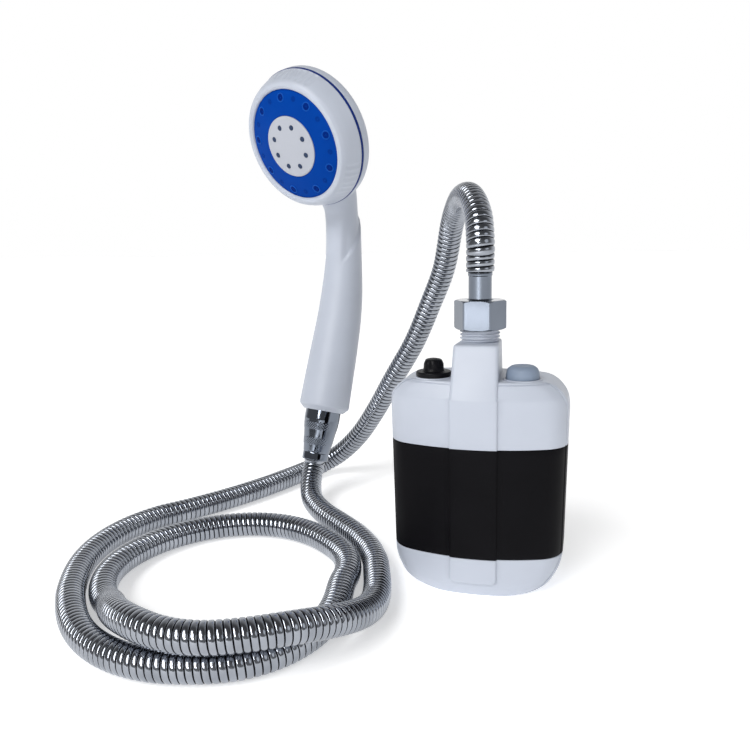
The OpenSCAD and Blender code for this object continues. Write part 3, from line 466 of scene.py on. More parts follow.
# %% Turned pieces
def soften(points, steps=5):
    out = [np.array(points[0][:2], float)]
    for before, here, after in zip(points, points[1:], points[2:]):
        b = np.array(here[:2], float)
        if len(here) < 3:
            out.append(b)
            continue
        u, v = np.array(before[:2], float) - b, np.array(after[:2], float) - b
        lu, lv = np.linalg.norm(u), np.linalg.norm(v)
        half = math.acos(np.clip(u.dot(v) / lu / lv, -1, 1)) / 2
        cut = min(here[2] / math.tan(half), 0.48 * lu, 0.48 * lv)
        p, q = b + u / lu * cut, b + v / lv * cut
        out += [(1 - t) ** 2 * p + 2 * t * (1 - t) * b + t * t * q for t in np.linspace(0, 1, steps + 1)]
    return np.array(out + [np.array(points[-1][:2], float)])


def grid_faces(n, m):
    i = np.arange(n * m).reshape(n, m)
    return np.stack([i[:-1], np.roll(i[:-1], -1, 1), np.roll(i[1:], -1, 1), i[1:]], -1).reshape(-1, 4)


def spin(outline, sides=96, shape=None):
    r, z = outline[:, :1], outline[:, 1:]
    t = 2 * np.pi * np.arange(sides)[None] / sides
    r = shape(t, r, z) if shape else r + 0 * t
    verts = np.stack([r * np.cos(t), r * np.sin(t), z + 0 * t], -1).reshape(-1, 3)
    return verts, grid_faces(len(outline), sides)


print("lathe ready")

# %% [markdown]
# Each new skin stands for a solid, or beside one. It is welded, shaded smooth
# up to a crease and told which body it rides on. That could be written out for
# each piece. One function does it for all, so that none is forgotten.

# %% Setting a piece in its place
WELD, CREASE = 2e-6, 38


def together(*parts):
    starts = np.cumsum([0] + [len(v) for v, f in parts])
    return np.vstack([v for v, f in parts]), np.vstack([f + s for (v, f), s in zip(parts, starts)])


def carried(points, place):
    place = np.array(place)
    return points @ place[:3, :3].T + place[:3, 3]


def moved(part, place):
    return carried(part[0], place), part[1]


def settle(piece, node, paint, replace, crease):
    weld(piece.data, WELD, True)
    piece.data.polygons.foreach_set("use_smooth", [True] * len(piece.data.polygons))
    piece.data.set_sharp_from_angle(angle=math.radians(crease))
    piece.data.materials.append(paint)
    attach(piece, nodes[node]["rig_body"])
    if replace:
        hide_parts(node)
    print(piece.name, len(piece.data.polygons), "faces,", "for" if replace else "beside", node)


def make(name, part, node, paint, replace=True, crease=CREASE):
    settle(new_mesh(name, part[0] * MM, part[1]), node, paint, replace, crease)


print("pieces weld within", WELD, "m and crease past", CREASE, "degrees")

# %% [markdown]
# The casing is three mouldings that share one outer form. Seen from the front
# it widens a little upwards, as a moulding has to for the mould to let it go,
# and has wide corners. Seen from the side its top and foot lean in. A box
# could be bevelled, but formulas keep each of these sizes on its own.

# %% Outline of the casing
CASE_W, CASE_D, CASE_H = 91.0, 52.0, 113.0
CUP_TOP, BAND_TOP, KNEE, SILL = 21.0, 79.0, 104.0, 6.0
LOW_ROUND, HIGH_ROUND = 24.0, 16.0
DRAFT, DRAFT_FROM = 0.021, 0.4 * CASE_H
LEAN = math.tan(math.radians(21))
STRIP_HALF, STRIP_FOOT, STRIP_ROUND, STRIP_RAISE = 12.25, 7.0, 3.0, 1.3


def ramp(x, soft=0.8):
    return 0.5 * (x + math.sqrt(x * x + soft * soft))


def full_width(z):
    return CASE_W / 2 + DRAFT * (z - DRAFT_FROM)


def half_width(z):
    low, high = max(LOW_ROUND - z, 0), max(z - CASE_H + HIGH_ROUND, 0)
    r = LOW_ROUND if low else HIGH_ROUND
    return full_width(z) - r + math.sqrt(max(r * r - max(low, high) ** 2, 0))


def half_depth(z):
    return CASE_D / 2 - LEAN * (ramp(z - KNEE) + ramp(SILL - z))


def strip_edge(z):
    up = np.clip(STRIP_FOOT + STRIP_ROUND - z, 0, STRIP_ROUND)
    return STRIP_HALF - STRIP_ROUND + math.sqrt(STRIP_ROUND**2 - up**2)


def strip_height(z):
    begun = ease(STRIP_FOOT - 0.1, STRIP_FOOT + 0.6, z)
    ended = ease(KNEE + 0.4, KNEE + 1.4, z)
    return STRIP_RAISE * begun * (1 - ended)


print("casing is", round(2 * half_width(BAND_TOP), 1), "mm wide above its band")

# %% [markdown]
# At each height the casing is one ring of points: a bowed front with the raised
# strip, a fine parting groove along the rim, flat sides and a bowed back. The
# groove could be a bump. Real points catch the light as a real groove does, so
# the ring has a few more of them there and at the strip's edges.

# %% Rings of the casing
BOW, CORNER, FRAME_W, FRAME_SOFT, GROOVE = 100.0, 16.0, 7.0, 1.2, 0.4
BEVEL_IN, EDGE_EASE, RIM_FROM, GRILLE_HALF = 4.0, 0.5, 1.4, 20.0
FRONT_STEPS, BACK_STEPS = 16, 18
FLANK = [(-1.2, 1), (-0.5, 0.93), (-0.15, 0.65), (0.05, 0.15), (0.3, 0)]
RIM = [(1.3, 0), (1.15, GROOVE), (0.75, GROOVE), (0.6, 0), (0.3, 0), (0, 0)]
SIDE = (-1, -0.6, -0.2, 0.2, 0.6, 1)


def bunched(start, stop, steps):
    return [start + (stop - start) * math.sin(math.pi / 2 * k / steps) for k in range(1, steps + 1)]


def casing_ring(z, drawn_in=0.0, sunk=0.0):
    full, w, d = full_width(z) - drawn_in, half_width(z) - drawn_in, half_depth(z) - drawn_in
    corner_x = full - CORNER
    corner_y = math.sqrt((BOW - CORNER) ** 2 - corner_x**2) - (BOW - d)
    bow_end = corner_x * BOW / (BOW - CORNER)
    cut = np.clip((full - w) / BEVEL_IN, 0, 1)
    edge = w - EDGE_EASE * cut

    def plan(x):
        bow = math.sqrt(BOW**2 - x * x) - (BOW - d)
        bend = corner_y + math.sqrt(max(CORNER**2 - max(x - corner_x, 0) ** 2, 0))
        return (bow if x < bow_end else bend) - LEAN * cut * ramp(x - w + FRAME_W, FRAME_SOFT)

    def pressed(x, depth):
        y, inner = plan(x), min(x, corner_x)
        away = math.hypot(x - inner, y - corner_y)
        return x + depth * (inner - x) / away, y + depth * (corner_y - y) / away

    strip, raised = min(strip_edge(z), 0.6 * w), strip_height(z)
    half = [(0.35 * strip, 1), (0.7 * strip, 1)] + [(strip + x, share) for x, share in FLANK]
    half += [(x, 0) for x in bunched(half[-1][0], edge - RIM_FROM, FRONT_STEPS)]
    half = [(x, plan(x) + raised * share) for x, share in half]
    half += [pressed(edge - gap, depth) for gap, depth in RIM]
    front = [(-x, sunk - y) for x, y in half[::-1]] + [(0, sunk - plan(0) - raised)]
    front += [(x, sunk - y) for x, y in half]
    side = [(w, share * (plan(edge) - EDGE_EASE * cut)) for share in SIDE]
    vent = min(GRILLE_HALF, 0.7 * w)
    rear = [vent / 3, 2 * vent / 3, vent] + bunched(vent, edge, BACK_STEPS)
    back = [(x, plan(x)) for x in rear[::-1]] + [(0, plan(0))] + [(-x, plan(x)) for x in rear]
    return [(x, y, z) for x, y in front + side + back + [(-x, -y) for x, y in side]]


print("casing ring has", len(casing_ring(BAND_TOP)), "points")

# %% [markdown]
# A moulding is a stack of rings joined into a skin. It could be lofted by an
# add-on. Joining the rings by hand lets the skin leave out faces, for the
# opening at the back, and lets a flat end be filled round its holes.

# %% Skins of the casing
WINDOW_AT = 2 * (2 + len(FLANK) + FRONT_STEPS + len(RIM)) + 1 + len(SIDE) + BACK_STEPS
WINDOW_COLUMNS, HOLE_SIDES = 6, 48


def neighbours(loop):
    return zip(loop, loop[1:] + loop[:1])


def casing_skin(levels, window=None):
    work = bmesh.new()
    loops = [[work.verts.new(p) for p in casing_ring(*ring)] for ring in levels]
    for low, high, below, above in zip(levels, levels[1:], loops, loops[1:]):
        open_here = window and window[0] <= low[0] and high[0] <= window[1]
        for k, ((a, b), (d, c)) in enumerate(zip(neighbours(below), neighbours(above))):
            if not (open_here and 0 <= k - WINDOW_AT < WINDOW_COLUMNS):
                work.faces.new((a, b, c, d))
    return work, loops


def pierced_cap(work, loop, holes):
    edges = [work.edges.get(pair) for pair in neighbours(loop)]
    rims = []
    for x, y, r in holes:
        turn = np.linspace(0, 2 * np.pi, HOLE_SIDES + 1)[:-1]
        rims.append([work.verts.new((x + r * math.cos(t), y + r * math.sin(t), loop[0].co.z)) for t in turn])
        edges += [work.edges.new(pair) for pair in neighbours(rims[-1])]
    bmesh.ops.triangle_fill(work, use_beauty=True, edges=edges)
    return rims


def pocket(work, rim, depth, floor):
    low = [work.verts.new(v.co + Vector((0, 0, depth))) for v in rim]
    for (a, b), (d, c) in zip(neighbours(rim), neighbours(low)):
        work.faces.new((a, b, c, d))
    if floor:
        work.faces.new(low)


def keep(name, work, node, paint):
    bmesh.ops.scale(work, vec=(MM, MM, MM), verts=work.verts)
    mesh = bpy.data.meshes.new(name)
    work.to_mesh(mesh)
    work.free()
    settle(put_in_scene(name, mesh), node, paint, True, CREASE)


print("opening starts at point", WINDOW_AT, "of the ring")

# %% [markdown]
# The lower cup is white, with four screw holes in its foot and an opening at
# the back for the intake grille. A Boolean could cut them, but it leaves long
# thin faces. The holes are built in, and the opening's edge is drawn inwards.

# %% Lower cup
GRILLE_LOW, GRILLE_HIGH, REVEAL = 6.0, 16.0, 2.2
SCREW_X, SCREW_Y, SCREW_R, SCREW_DEEP = 17, 12, 2.3, 0.9
FOOT_ROUND, BEHIND, NEAR = 0.9, 15, 0.1


def rounded_end(z, r, way, steps=6):
    turn = np.linspace(0, math.pi / 2, steps + 1)[1:]
    return [(z - way * r * (1 - math.sin(a)), r * (1 - math.cos(a))) for a in turn]


def seam(z, way):
    return [(z + way * 0.5, 0), (z + way * 0.2, 0.1), (z + way * 0.04, 0.45)]


def at_heights(*heights):
    return [(float(z), 0.0) for z in heights]


def on_window(edge):
    return edge.is_boundary and all(
        v.co.y > BEHIND and GRILLE_LOW - NEAR < v.co.z < GRILLE_HIGH + NEAR for v in edge.verts)


cup_rows = rounded_end(0, FOOT_ROUND, -1)[::-1]
cup_rows += at_heights(1.4, 2.2, 3.2, 4.3, 5.2, 6, 6.85, 7.15, 7.4, 7.8, 8.4, 9, 10, 12, 14, 16, 18, 19.5)
cup, loops = casing_skin(cup_rows + seam(CUP_TOP, -1), (GRILLE_LOW, GRILLE_HIGH))
screws = [(x, y, SCREW_R) for x in (-SCREW_X, SCREW_X) for y in (-SCREW_Y, SCREW_Y)]
for rim in pierced_cap(cup, loops[0], screws):
    pocket(cup, rim, SCREW_DEEP, False)
drawn = bmesh.ops.extrude_edge_only(cup, edges=[e for e in cup.edges if on_window(e)])["geom"]
bmesh.ops.translate(cup, vec=(0, -REVEAL, 0), verts=[g for g in drawn if isinstance(g, bmesh.types.BMVert)])
keep("lower_cup", cup, "bottom_shell", white_abs)

# %% [markdown]
# The black band is a moulding of its own between the two white ones. It could
# be a black stripe painted on one shell. As its own skin its ends turn in a
# little, and that leaves the fine dark seams that the real casing shows.

# %% Black band
band_rows = seam(CUP_TOP, 1)[::-1] + at_heights(25, 35, 50, 65, 75) + seam(BAND_TOP, -1)
keep("black_band", casing_skin(band_rows)[0], "middle_shell", black_abs)

# %% [markdown]
# The upper shell leans in above its knee and ends in a flat top with two
# openings: a hole for the charging port and a shallow well for the button. The
# rings crowd together where the form turns, because a smooth shade over far
# rings would blur the knee.

# %% Upper shell
PORT, BUTTON = (-23.0, -9.0), (23.0, -9.0)
PORT_R, PORT_DEEP, WELL_R, WELL_FLOOR, TOP_ROUND = 6.3, 3.0, 8.85, 110.8, 0.8
top_rows = seam(BAND_TOP, 1)[::-1]
top_rows += at_heights(85, 92, 97, 98.5, 100, 101.5, 102.5, 103.3, 104, 104.4, 104.8, 105.4,
                       106.3, 107.5, 109, 110.2, 111)
top_rows += [(111.3, 0, 0), (111.42, 0, GROOVE), (111.75, 0, GROOVE), (111.87, 0, 0)]
upper, loops = casing_skin(top_rows + rounded_end(CASE_H, TOP_ROUND, 1))
port_rim, well_rim = pierced_cap(upper, loops[-1], [(*PORT, PORT_R), (*BUTTON, WELL_R)])
pocket(upper, port_rim, -PORT_DEEP, False)
pocket(upper, well_rim, WELL_FLOOR - CASE_H, True)
keep("upper_shell", upper, "top_shell", white_abs)

# %% [markdown]
# A low round collar stands about each opening and hides the gap to plug and
# button. It could be raised from the shell's own faces. As a turned ring it
# has clean round edges, and it sinks a little into the top.

# %% Collars
COLLAR_TOP, COLLAR_SINK, COLLAR_SIDES = 113.4, 0.2, 64


def collar(spot, inner, outer):
    foot = CASE_H - COLLAR_SINK
    outline = [(inner, foot), (inner, COLLAR_TOP, 0.15), (outer, COLLAR_TOP, 0.3), (outer, foot)]
    return moved(spin(soften(outline), COLLAR_SIDES), Matrix.Translation((*spot, 0)))


collars = together(collar(PORT, PORT_R, 10.0), collar(BUTTON, WELL_R, 10.05))
make("top_collars", collars, "top_shell", white_abs, replace=False)

# %% [markdown]
# The strip on the front runs on above the casing as a neck. It leans back like
# the bevel and narrows a little, and its upright edges are eased. A box could
# be tapered and bevelled. Rings again let the neck begin with the strip's own
# bowed face, so that no step shows where it leaves the casing.

# %% Neck
NECK_TOP, NECK_BACK, NECK_EDGE, NECK_SLIM, NECK_TAPER = 131.0, 13.0, 2.0, 1.3, 0.7
NECK_PROUD, NECK_DIVE, NECK_ROUND = 0.03, 0.6, 1.3


def neck_ring(z, drawn_in):
    t = np.clip((z - KNEE) / (NECK_TOP - KNEE), 0, 1)
    half, rear, e = STRIP_HALF - NECK_TAPER * t - drawn_in, NECK_BACK - drawn_in, NECK_EDGE
    face = LEAN * ramp(z - KNEE) + NECK_DIVE * max(KNEE - z, 0) + drawn_in
    face -= CASE_D / 2 + STRIP_RAISE + NECK_PROUD

    def brow(x):
        return face + x * x / (2 * BOW) * (1 - t)

    flat, slim = half - e, half - e - NECK_SLIM
    y, y_back = brow(flat) + e, rear - e
    quarter = np.linspace(0, np.pi / 2, 7)[1:]
    third = (0.33, 0.66, 1)
    ring = [(x, brow(x)) for x in np.linspace(-flat, flat, 9)]
    ring += [(flat + e * math.sin(a), y - e * math.cos(a)) for a in quarter]
    ring += [(half - NECK_SLIM * k, y + (y_back - y) * k) for k in third]
    ring += [(slim + e * math.cos(a), y_back + e * math.sin(a)) for a in quarter]
    ring += [(-slim, rear)] + [(-slim - e * math.sin(a), y_back + e * math.cos(a)) for a in quarter]
    ring += [(-half + NECK_SLIM * (1 - k), y_back + (y - y_back) * k) for k in third]
    ring += [(-flat - e * math.cos(a), y - e * math.sin(a)) for a in quarter[:-1]]
    return [(px, py, z) for px, py in ring]


neck_rows = at_heights(101, 103.3, 104, 104.6, 105.4, 107, 110, 113, 119, 125, 129)
neck_rows += rounded_end(NECK_TOP, NECK_ROUND, 1, 5)
neck_loops = [np.array(neck_ring(z, drawn_in)) for z, drawn_in in neck_rows]
neck_grid = np.stack(neck_loops + [neck_loops[-1] * (k, k, 1) for k in (0.6, 0.2)])
neck = neck_grid.reshape(-1, 3), grid_faces(*neck_grid.shape[:2])
make("outlet_neck", neck, "top_shell", white_abs, replace=False)

# %% [markdown]
# On the neck stands the spout with a half-inch pipe thread. Rings at the
# thread's pitch could pass for one. It is a true screw here, wound like the
# hose: a grid whose last column joins the row one pitch further up. The thread
# fades out at both ends, as a cut thread does.

# %% Threaded spout
SPOUT_TOP, SPOUT_BORE_R, SPOUT_SINK, THREAD_SIDES = 146.0, 5.05, 0.2, 96
THREAD_R, THREAD_DEPTH, THREAD_PITCH = 10.4775, 1.162, 1.814
thread_form = np.array([0, 0.02, 0.2, 0.75, 1, 1, 0.75, 0.2, 0.02])
per = len(thread_form)
turns = int((SPOUT_TOP - NECK_TOP) / THREAD_PITCH + 1)
row = np.arange(-per, turns * per + 1)
turn = 2 * np.pi * np.arange(THREAD_SIDES)[None] / THREAD_SIDES
spout_foot, root = NECK_TOP - SPOUT_SINK, THREAD_R - THREAD_DEPTH
height = spout_foot + THREAD_PITCH * (row[:, None] / per + turn / (2 * np.pi))
height = np.clip(height, spout_foot, SPOUT_TOP)
fade = ease(NECK_TOP, NECK_TOP + 0.9, height) * (1 - ease(SPOUT_TOP - 1.6, SPOUT_TOP - 0.4, height))
radius = root + THREAD_DEPTH * thread_form[row % per][:, None] * fade
thread = np.stack([radius * np.cos(turn), radius * np.sin(turn), height], -1)
mouth = soften([(root, SPOUT_TOP), (SPOUT_BORE_R, SPOUT_TOP, 0.3), (SPOUT_BORE_R, SPOUT_TOP - 6)])
screw = thread.reshape(-1, 3), wound_faces(len(row), THREAD_SIDES, per)
spout = together(screw, spin(mouth, THREAD_SIDES))
make("threaded_spout", spout, "top_shell", white_abs, replace=False, crease=60)

# %% [markdown]
# The charging port is shut by a soft black plug: a flat flange with a knob to
# pull it by, pinched into shallow lobes. The lobes could be sculpted. A wave
# that lessens the radius as the outline is spun gives five even ones.

# %% Plug
PLUG_FOOT, PLUG_R, FLANGE_R, LOBES, LOBE_DEPTH = 108.5, 5.95, 9.2, 5, 0.11


def lobes(t, r, z):
    knob = ease(117.0, 118.5, z) * (1 - ease(121.2, 122.2, z))
    return r * (1 - LOBE_DEPTH * knob * np.abs(np.sin(LOBES / 2 * t)) ** 6)


plug_outline = soften([
    (0.01, 113.0), (4.4, 113.0), (4.4, PLUG_FOOT), (PLUG_R, PLUG_FOOT, 0.4), (PLUG_R, 113.5),
    (FLANGE_R, 113.5, 0.4), (FLANGE_R, 116.1, 0.8), (5.8, 116.1, 0.8), (5.35, 117.6, 1.0),
    (5.25, 120.0, 1.4), (4.3, 122.2, 1.6), (2.0, 122.7, 1.2), (0.01, 122.7)])
plug = moved(spin(plug_outline, shape=lobes), Matrix.Translation((*PORT, 0)))
make("soft_plug", plug, "port_plug", black_rubber)

# %% [markdown]
# The power button is a grey silicone cap, widest at its foot, with a faint
# dish for the thumb. A squashed ball would come near it. A turned outline also
# gives the dish, and the stem that reaches down to the switch.

# %% Button
CAP_R, STEM_R = 8.5, 2.2
button_outline = soften([
    (0.01, 108.2), (STEM_R, 108.2), (STEM_R, 113.0), (CAP_R, 113.0, 0.3), (CAP_R, 115.4, 2.5),
    (7.8, 118.4, 2.5), (5.6, 120.0, 2.5), (3.2, 119.9, 2.0), (1.5, 119.7, 1.0), (0.01, 119.7)])
button = moved(spin(button_outline, sides=72), Matrix.Translation((*BUTTON, 0)))
make("thumb_button", button, "power_button", grey_silicone)

# %% [markdown]
# The union nut is a hexagon bar whose ends were turned down to a cone, which
# leaves the curved chamfers that every bought nut has. A Boolean of the two
# would do it. Its radius is simply the smaller of the hexagon's and the
# cone's, with the corners eased, so a formula does it with even faces.

# %% Union nut
NUT_FOOT, NUT_TOP, NUT_FACE = 137.5, 152.5, math.radians(29)
NUT_FLAT, NUT_CORNER, NUT_BORE, NUT_THROAT = 12.0, 13.62, 10.85, 6.4
CONE_R, CONE_SLOPE, END_R = 12.5, 1.73, 12.2


def hexagon(t, r, z):
    a = np.mod(t - NUT_FACE + math.pi / 6, math.pi / 3) - math.pi / 6
    cone = CONE_R + CONE_SLOPE * np.minimum(z - NUT_FOOT, NUT_TOP - z)
    outer = np.minimum(np.minimum(NUT_FLAT / np.cos(a), NUT_CORNER), cone)
    return np.where(r > CONE_R, outer, r)


ends = [0, 0.12, 0.25, 0.38, 0.5, 0.62, 0.75, 0.9]
nut_outline = [(NUT_BORE, NUT_FOOT + 9), (NUT_BORE, NUT_FOOT + 0.5), (11.2, NUT_FOOT), (END_R, NUT_FOOT)]
nut_outline += [(NUT_CORNER, NUT_FOOT + z) for z in ends + [3, 7.5, 12]]
nut_outline += [(NUT_CORNER, NUT_TOP - z) for z in ends[::-1]]
nut_outline += [(END_R, NUT_TOP), (7.0, NUT_TOP), (NUT_THROAT, NUT_TOP - 0.6), (NUT_THROAT, NUT_TOP - 3)]
make("union_nut", spin(np.array(nut_outline, float), sides=240, shape=hexagon), "hose_nut", chrome, crease=24)

# %% [markdown]
# The ferrule is the plated sleeve between nut and hose. Its flange is caught
# under the nut, and a small bead stops the hose at its top. A plain cylinder
# would look right from afar, but a turned outline gives the bead its glint.

# %% Ferrule
FERRULE_FOOT, FERRULE_TOP, FERRULE_R, BEAD_R, FERRULE_BORE = 147.4, 167.0, 6.0, 6.35, 3.05
ferrule_outline = soften([
    (FERRULE_BORE, FERRULE_FOOT), (8.5, FERRULE_FOOT, 0.3), (8.5, 149.0, 0.3), (FERRULE_R, 149.0),
    (FERRULE_R, 164.6, 0.2), (BEAD_R, 165.0, 0.3), (BEAD_R, 166.6, 0.4), (5.9, FERRULE_TOP),
    (4.0, FERRULE_TOP), (4.0, FERRULE_TOP + 7), (FERRULE_BORE, FERRULE_TOP + 7)])
make("hose_ferrule", spin(ferrule_outline), "pump_ferrule", chrome)

# %% [markdown]
# At the hose's far end a long tapered nut holds it to the handle. Two bands
# are knurled: grooves wound opposite ways leave small diamonds to grip. A bump
# map could show them, but plated metal needs real facets to glitter. All of
# it lies on the handle's own axis.

# %% Tapered nut
KNURLS, KNURL_LEAD, KNURL_HEIGHT, KNURL_SINK = 40, 1.9, 0.22, 0.05
CONE_FOOT_R, CONE_TOP_R, CONE_BORE = 9.3, 12.6, 7.9
NECK_LINE, NECK_LINE_DEEP = -33.4, 0.3


def knurled(z, low, high):
    return ease(low, low + 0.6, z) * (1 - ease(high - 0.6, high, z))


def tooth(x):
    return np.abs(np.mod(x, 1) - 0.5) * 2


def knurl(t, r, z):
    band = np.maximum(knurled(z, -17.2, -11.8), knurled(z, -28.2, -22.8))
    around, climb = KNURLS * t / (2 * np.pi), z / KNURL_LEAD
    diamond = np.minimum(tooth(around + climb), tooth(around - climb))
    return r + np.where(r > CONE_BORE + 0.7, band * (KNURL_HEIGHT * diamond - KNURL_SINK), 0)


def taper(u):
    slope = np.interp(u, [-34, -10], [CONE_FOOT_R, CONE_TOP_R])
    return slope - NECK_LINE_DEEP * max(0, 1 - abs(u - NECK_LINE) / 0.5)


cone_outline = np.vstack([
    soften([(CONE_BORE, -36), (CONE_BORE, -39, 0.3), (CONE_FOOT_R, -39, 0.8), (CONE_FOOT_R, -36.5)]),
    [(taper(u), u) for u in np.arange(-36, 1.2, 0.35)],
    soften([(CONE_TOP_R, 1.4), (CONE_TOP_R, 2, 0.4), (10.9, 2), (10.9, -8)])])
cone = moved(spin(cone_outline, sides=240, shape=knurl), hand)
make("tapered_nut_skin", cone, "cone_nut", chrome, crease=30)

# %% [markdown]
# The handle runs straight, slims and bends forward into the head. It could be
# a curve with a bevel and a taper. Stations of offset, height and radius, with
# a smooth curve through them, keep the sizes of the real grip in plain sight.

# %% Line of the handle
GRIP_STEPS, FOOT_TOP = 8, 3.2
stations = np.array([
    (0, 0, 17.8), (0, 20, 17.35), (0, 40, 16.8), (0.2, 61, 15.95), (1.2, 75, 15.2), (2.6, 86, 14.5),
    (5.1, 100, 13.4), (7.6, 111, 12.8), (11.6, 125, 12.45), (15.4, 136, 12.4), (21.3, 148, 12.5),
    (29.3, 158.5, 12.8), (40, 167.5, 13.2), (52, 174, 13.4)], float)
foot = soften([
    (13.0, 1.0), (13.0, -3.5, 0.2), (14.1, -3.5, 0.6), (17.55, -0.2, 0.4), (17.8, 1.2, 1.0), (17.78, 3.0)])
grip = through(stations, GRIP_STEPS)
grip = np.vstack([np.column_stack([0 * foot[:, 0], foot[:, 1], foot[:, 0]]), grip[grip[:, 1] > FOOT_TOP]])
grip_line = np.column_stack([0 * grip[:, 0], -grip[:, 0], grip[:, 1]])
heading = np.gradient(grip_line, axis=0)
heading[:len(foot) + 1] = (0, 0, 1)
heading = unit(heading)
print("handle has", len(grip), "rings")

# %% [markdown]
# Handle and domed back are one moulding, and where they meet the mould has a
# fillet. A bevel after a Boolean often breaks on such a curved edge. So both
# skins are pushed out a little near the other one, as in a smooth union. A
# shallow scoop for the thumb ends in a slanting crease at the neck's side.

# %% Handle
HEAD_R, DOME_TOP, DOME_R, FILLET, GRIP_SIDES = 46.0, 40.0, 65.18, 9.0, 96
SCOOP, CREASE_AT, CREASE_ROUND, CREASE_SLOPE = 1.5, 127, 37, 0.265
head = hand @ Matrix.Translation((0, -72.2, 165.8)) @ Matrix.Rotation(math.radians(-52), 4, "X")
to_head = np.array(head.inverted() @ hand)
dome_centre = np.array((0, 0, DOME_TOP - DOME_R))


def push(distance):
    return np.clip(1 - np.abs(distance) / FILLET, 0, 1) ** 2 * FILLET / 4


t = 2 * np.pi * np.arange(GRIP_SIDES)[None, :, None] / GRIP_SIDES
grip_out = np.cos(t) * np.array((1.0, 0, 0)) + np.sin(t) * np.cross(heading, (1.0, 0, 0))[:, None]
skin = grip_line[:, None] + grip[:, 2][:, None, None] * grip_out
in_head = carried(skin, to_head)
off_dome = np.maximum(np.linalg.norm(in_head - dome_centre, axis=-1) - DOME_R,
                      np.hypot(in_head[..., 0], in_head[..., 1]) - HEAD_R)
around = np.mod(np.degrees(t[..., 0]) + 180, 360) - 180
past = grip[:, 1:2] - (CREASE_AT + CREASE_SLOPE * (around - CREASE_ROUND))
scoop = SCOOP * ease(0, 1.3, past) * (1 - ease(8, 34, past))
scoop = scoop * ease(-62, -34, around) * (1 - ease(60, 95, around))
skin = skin + (push(off_dome) - scoop)[..., None] * grip_out
handle = skin.reshape(-1, 3), grid_faces(*skin.shape[:2])
make("handle_grip", moved(handle, hand), "handle", white_abs)

# %% [markdown]
# The domed back is a part of a ball with a rounded rim. A ball could be cut in
# half and scaled. Turned from an outline, its rim meets the seam at the right
# height, and its rings are close enough to carry the fillet.

# %% Domed back
RIM_Z, DOME_Z, CAP_EDGE, CAP_STEP, REACH, HEAD_SIDES = 15.0, 21.0, 40.0, 1.25, 60, 192
cap_r = np.append(np.arange(CAP_EDGE, 0, -CAP_STEP), 0.01)
cap = np.column_stack([cap_r, DOME_TOP - DOME_R + np.sqrt(DOME_R**2 - cap_r**2)])
rim = soften([(43.5, RIM_Z), (HEAD_R, RIM_Z, 0.5), (HEAD_R, DOME_Z + 0.4, 8), tuple(cap[0])], 8)
dome, dome_faces = spin(np.vstack([rim, cap[1:]]), HEAD_SIDES)
in_hand = carried(dome, np.linalg.inv(to_head))
near = grip[:, 1] > REACH
off_grip = (np.linalg.norm(in_hand[:, None] - grip_line[None, near], axis=-1) - grip[near, 2]).min(1)
swell = push(off_grip) * ease(15.5, 19, dome[:, 2])
dome = dome + swell[:, None] * unit(dome - dome_centre)
make("domed_back", moved((dome, dome_faces), head), "handle", white_abs, replace=False)

# %% [markdown]
# The head's front turns to pick the spray. A blue line shows between the dome
# and the bezel, and the bezel has three groups of soft flutes for wet fingers.
# Cutters could be set round it. Spun with a wave, its wall widens backwards
# like a bowl and the flutes lean as the wall does.

# %% Seam and bezel
FLUTE_GROUPS, FLUTE_STEP, FLUTE_DEPTH = np.radians((44, 164, 284)), math.radians(6), 0.55
FLUTE_WIDE, FLUTE_FROM_R, LIP_R = 0.42 * FLUTE_STEP, 40, 36.05


def flutes(t, r, z):
    depth = 0
    for group in FLUTE_GROUPS:
        for k in range(-3, 4):
            away = np.mod(t - group - k * FLUTE_STEP + np.pi, 2 * np.pi) - np.pi
            depth = np.maximum(depth, np.clip(1 - (away / FLUTE_WIDE) ** 2, 0, 1))
    return r - FLUTE_DEPTH * depth * ease(0.8, 3.2, z) * (1 - ease(12.2, 12.9, z)) * (r > FLUTE_FROM_R)


seam_outline = soften([(38, 13.15), (45.95, 13.15, 0.2), (45.95, 14.95, 0.2), (38, 14.95)])
make("blue_seam", moved(spin(seam_outline, HEAD_SIDES), head), "seam_ring", seam_blue)
bezel_outline = np.vstack([
    soften([(LIP_R, 4), (LIP_R, 0.0, 0.4), (36.7, -0.9, 0.5), (38.2, -1.4, 1.2),
            (40.0, -0.9, 1.8), (41.5, 0.9)]),
    np.linspace((41.9, 1.7), (43.4, 5.2), 4),
    np.linspace((43.5, 5.6), (45.5, 12.2), 7)[1:],
    soften([(45.6, 12.6), (45.62, 13.1, 0.2), (43, 13.1), (38, 13.1)])])
make("turning_bezel", moved(spin(bezel_outline, sides=540, shape=flutes), head), "bezel", white_abs)

# %% [markdown]
# The spray face is a blue ring about a white disc, and both bulge a little. A
# flat disc would be one even tone. A crown with a true radius shades off
# gently, and it tells each jet which way to stand.

# %% Spray face
FACE_R, FACE_CROWN, CENTRE_R, CENTRE_LIFT, FACE_BACK, FACE_GAP = 36.0, 4.9, 20.0, 0.4, 3, 0.05
FACE_ROUND, FACE_DROP = 0.3, 0.25
CROWN_R = (FACE_R**2 + FACE_CROWN**2) / (2 * FACE_CROWN)


def crown(r, lift=0.0):
    return CROWN_R - FACE_CROWN - lift - np.sqrt(CROWN_R**2 - r * r)


def crowned(inner, outer, lift):
    r = np.linspace(inner + FACE_ROUND, outer - FACE_ROUND, 24)
    start = [(0.01, crown(0, lift))]
    if inner:
        start = [(inner, FACE_BACK), (inner, crown(inner, lift) + FACE_DROP)]
    stop = [(outer, crown(outer, lift) + FACE_DROP), (outer, FACE_BACK)]
    return moved(spin(np.vstack([start, np.column_stack([r, crown(r, lift)]), stop]), HEAD_SIDES), head)


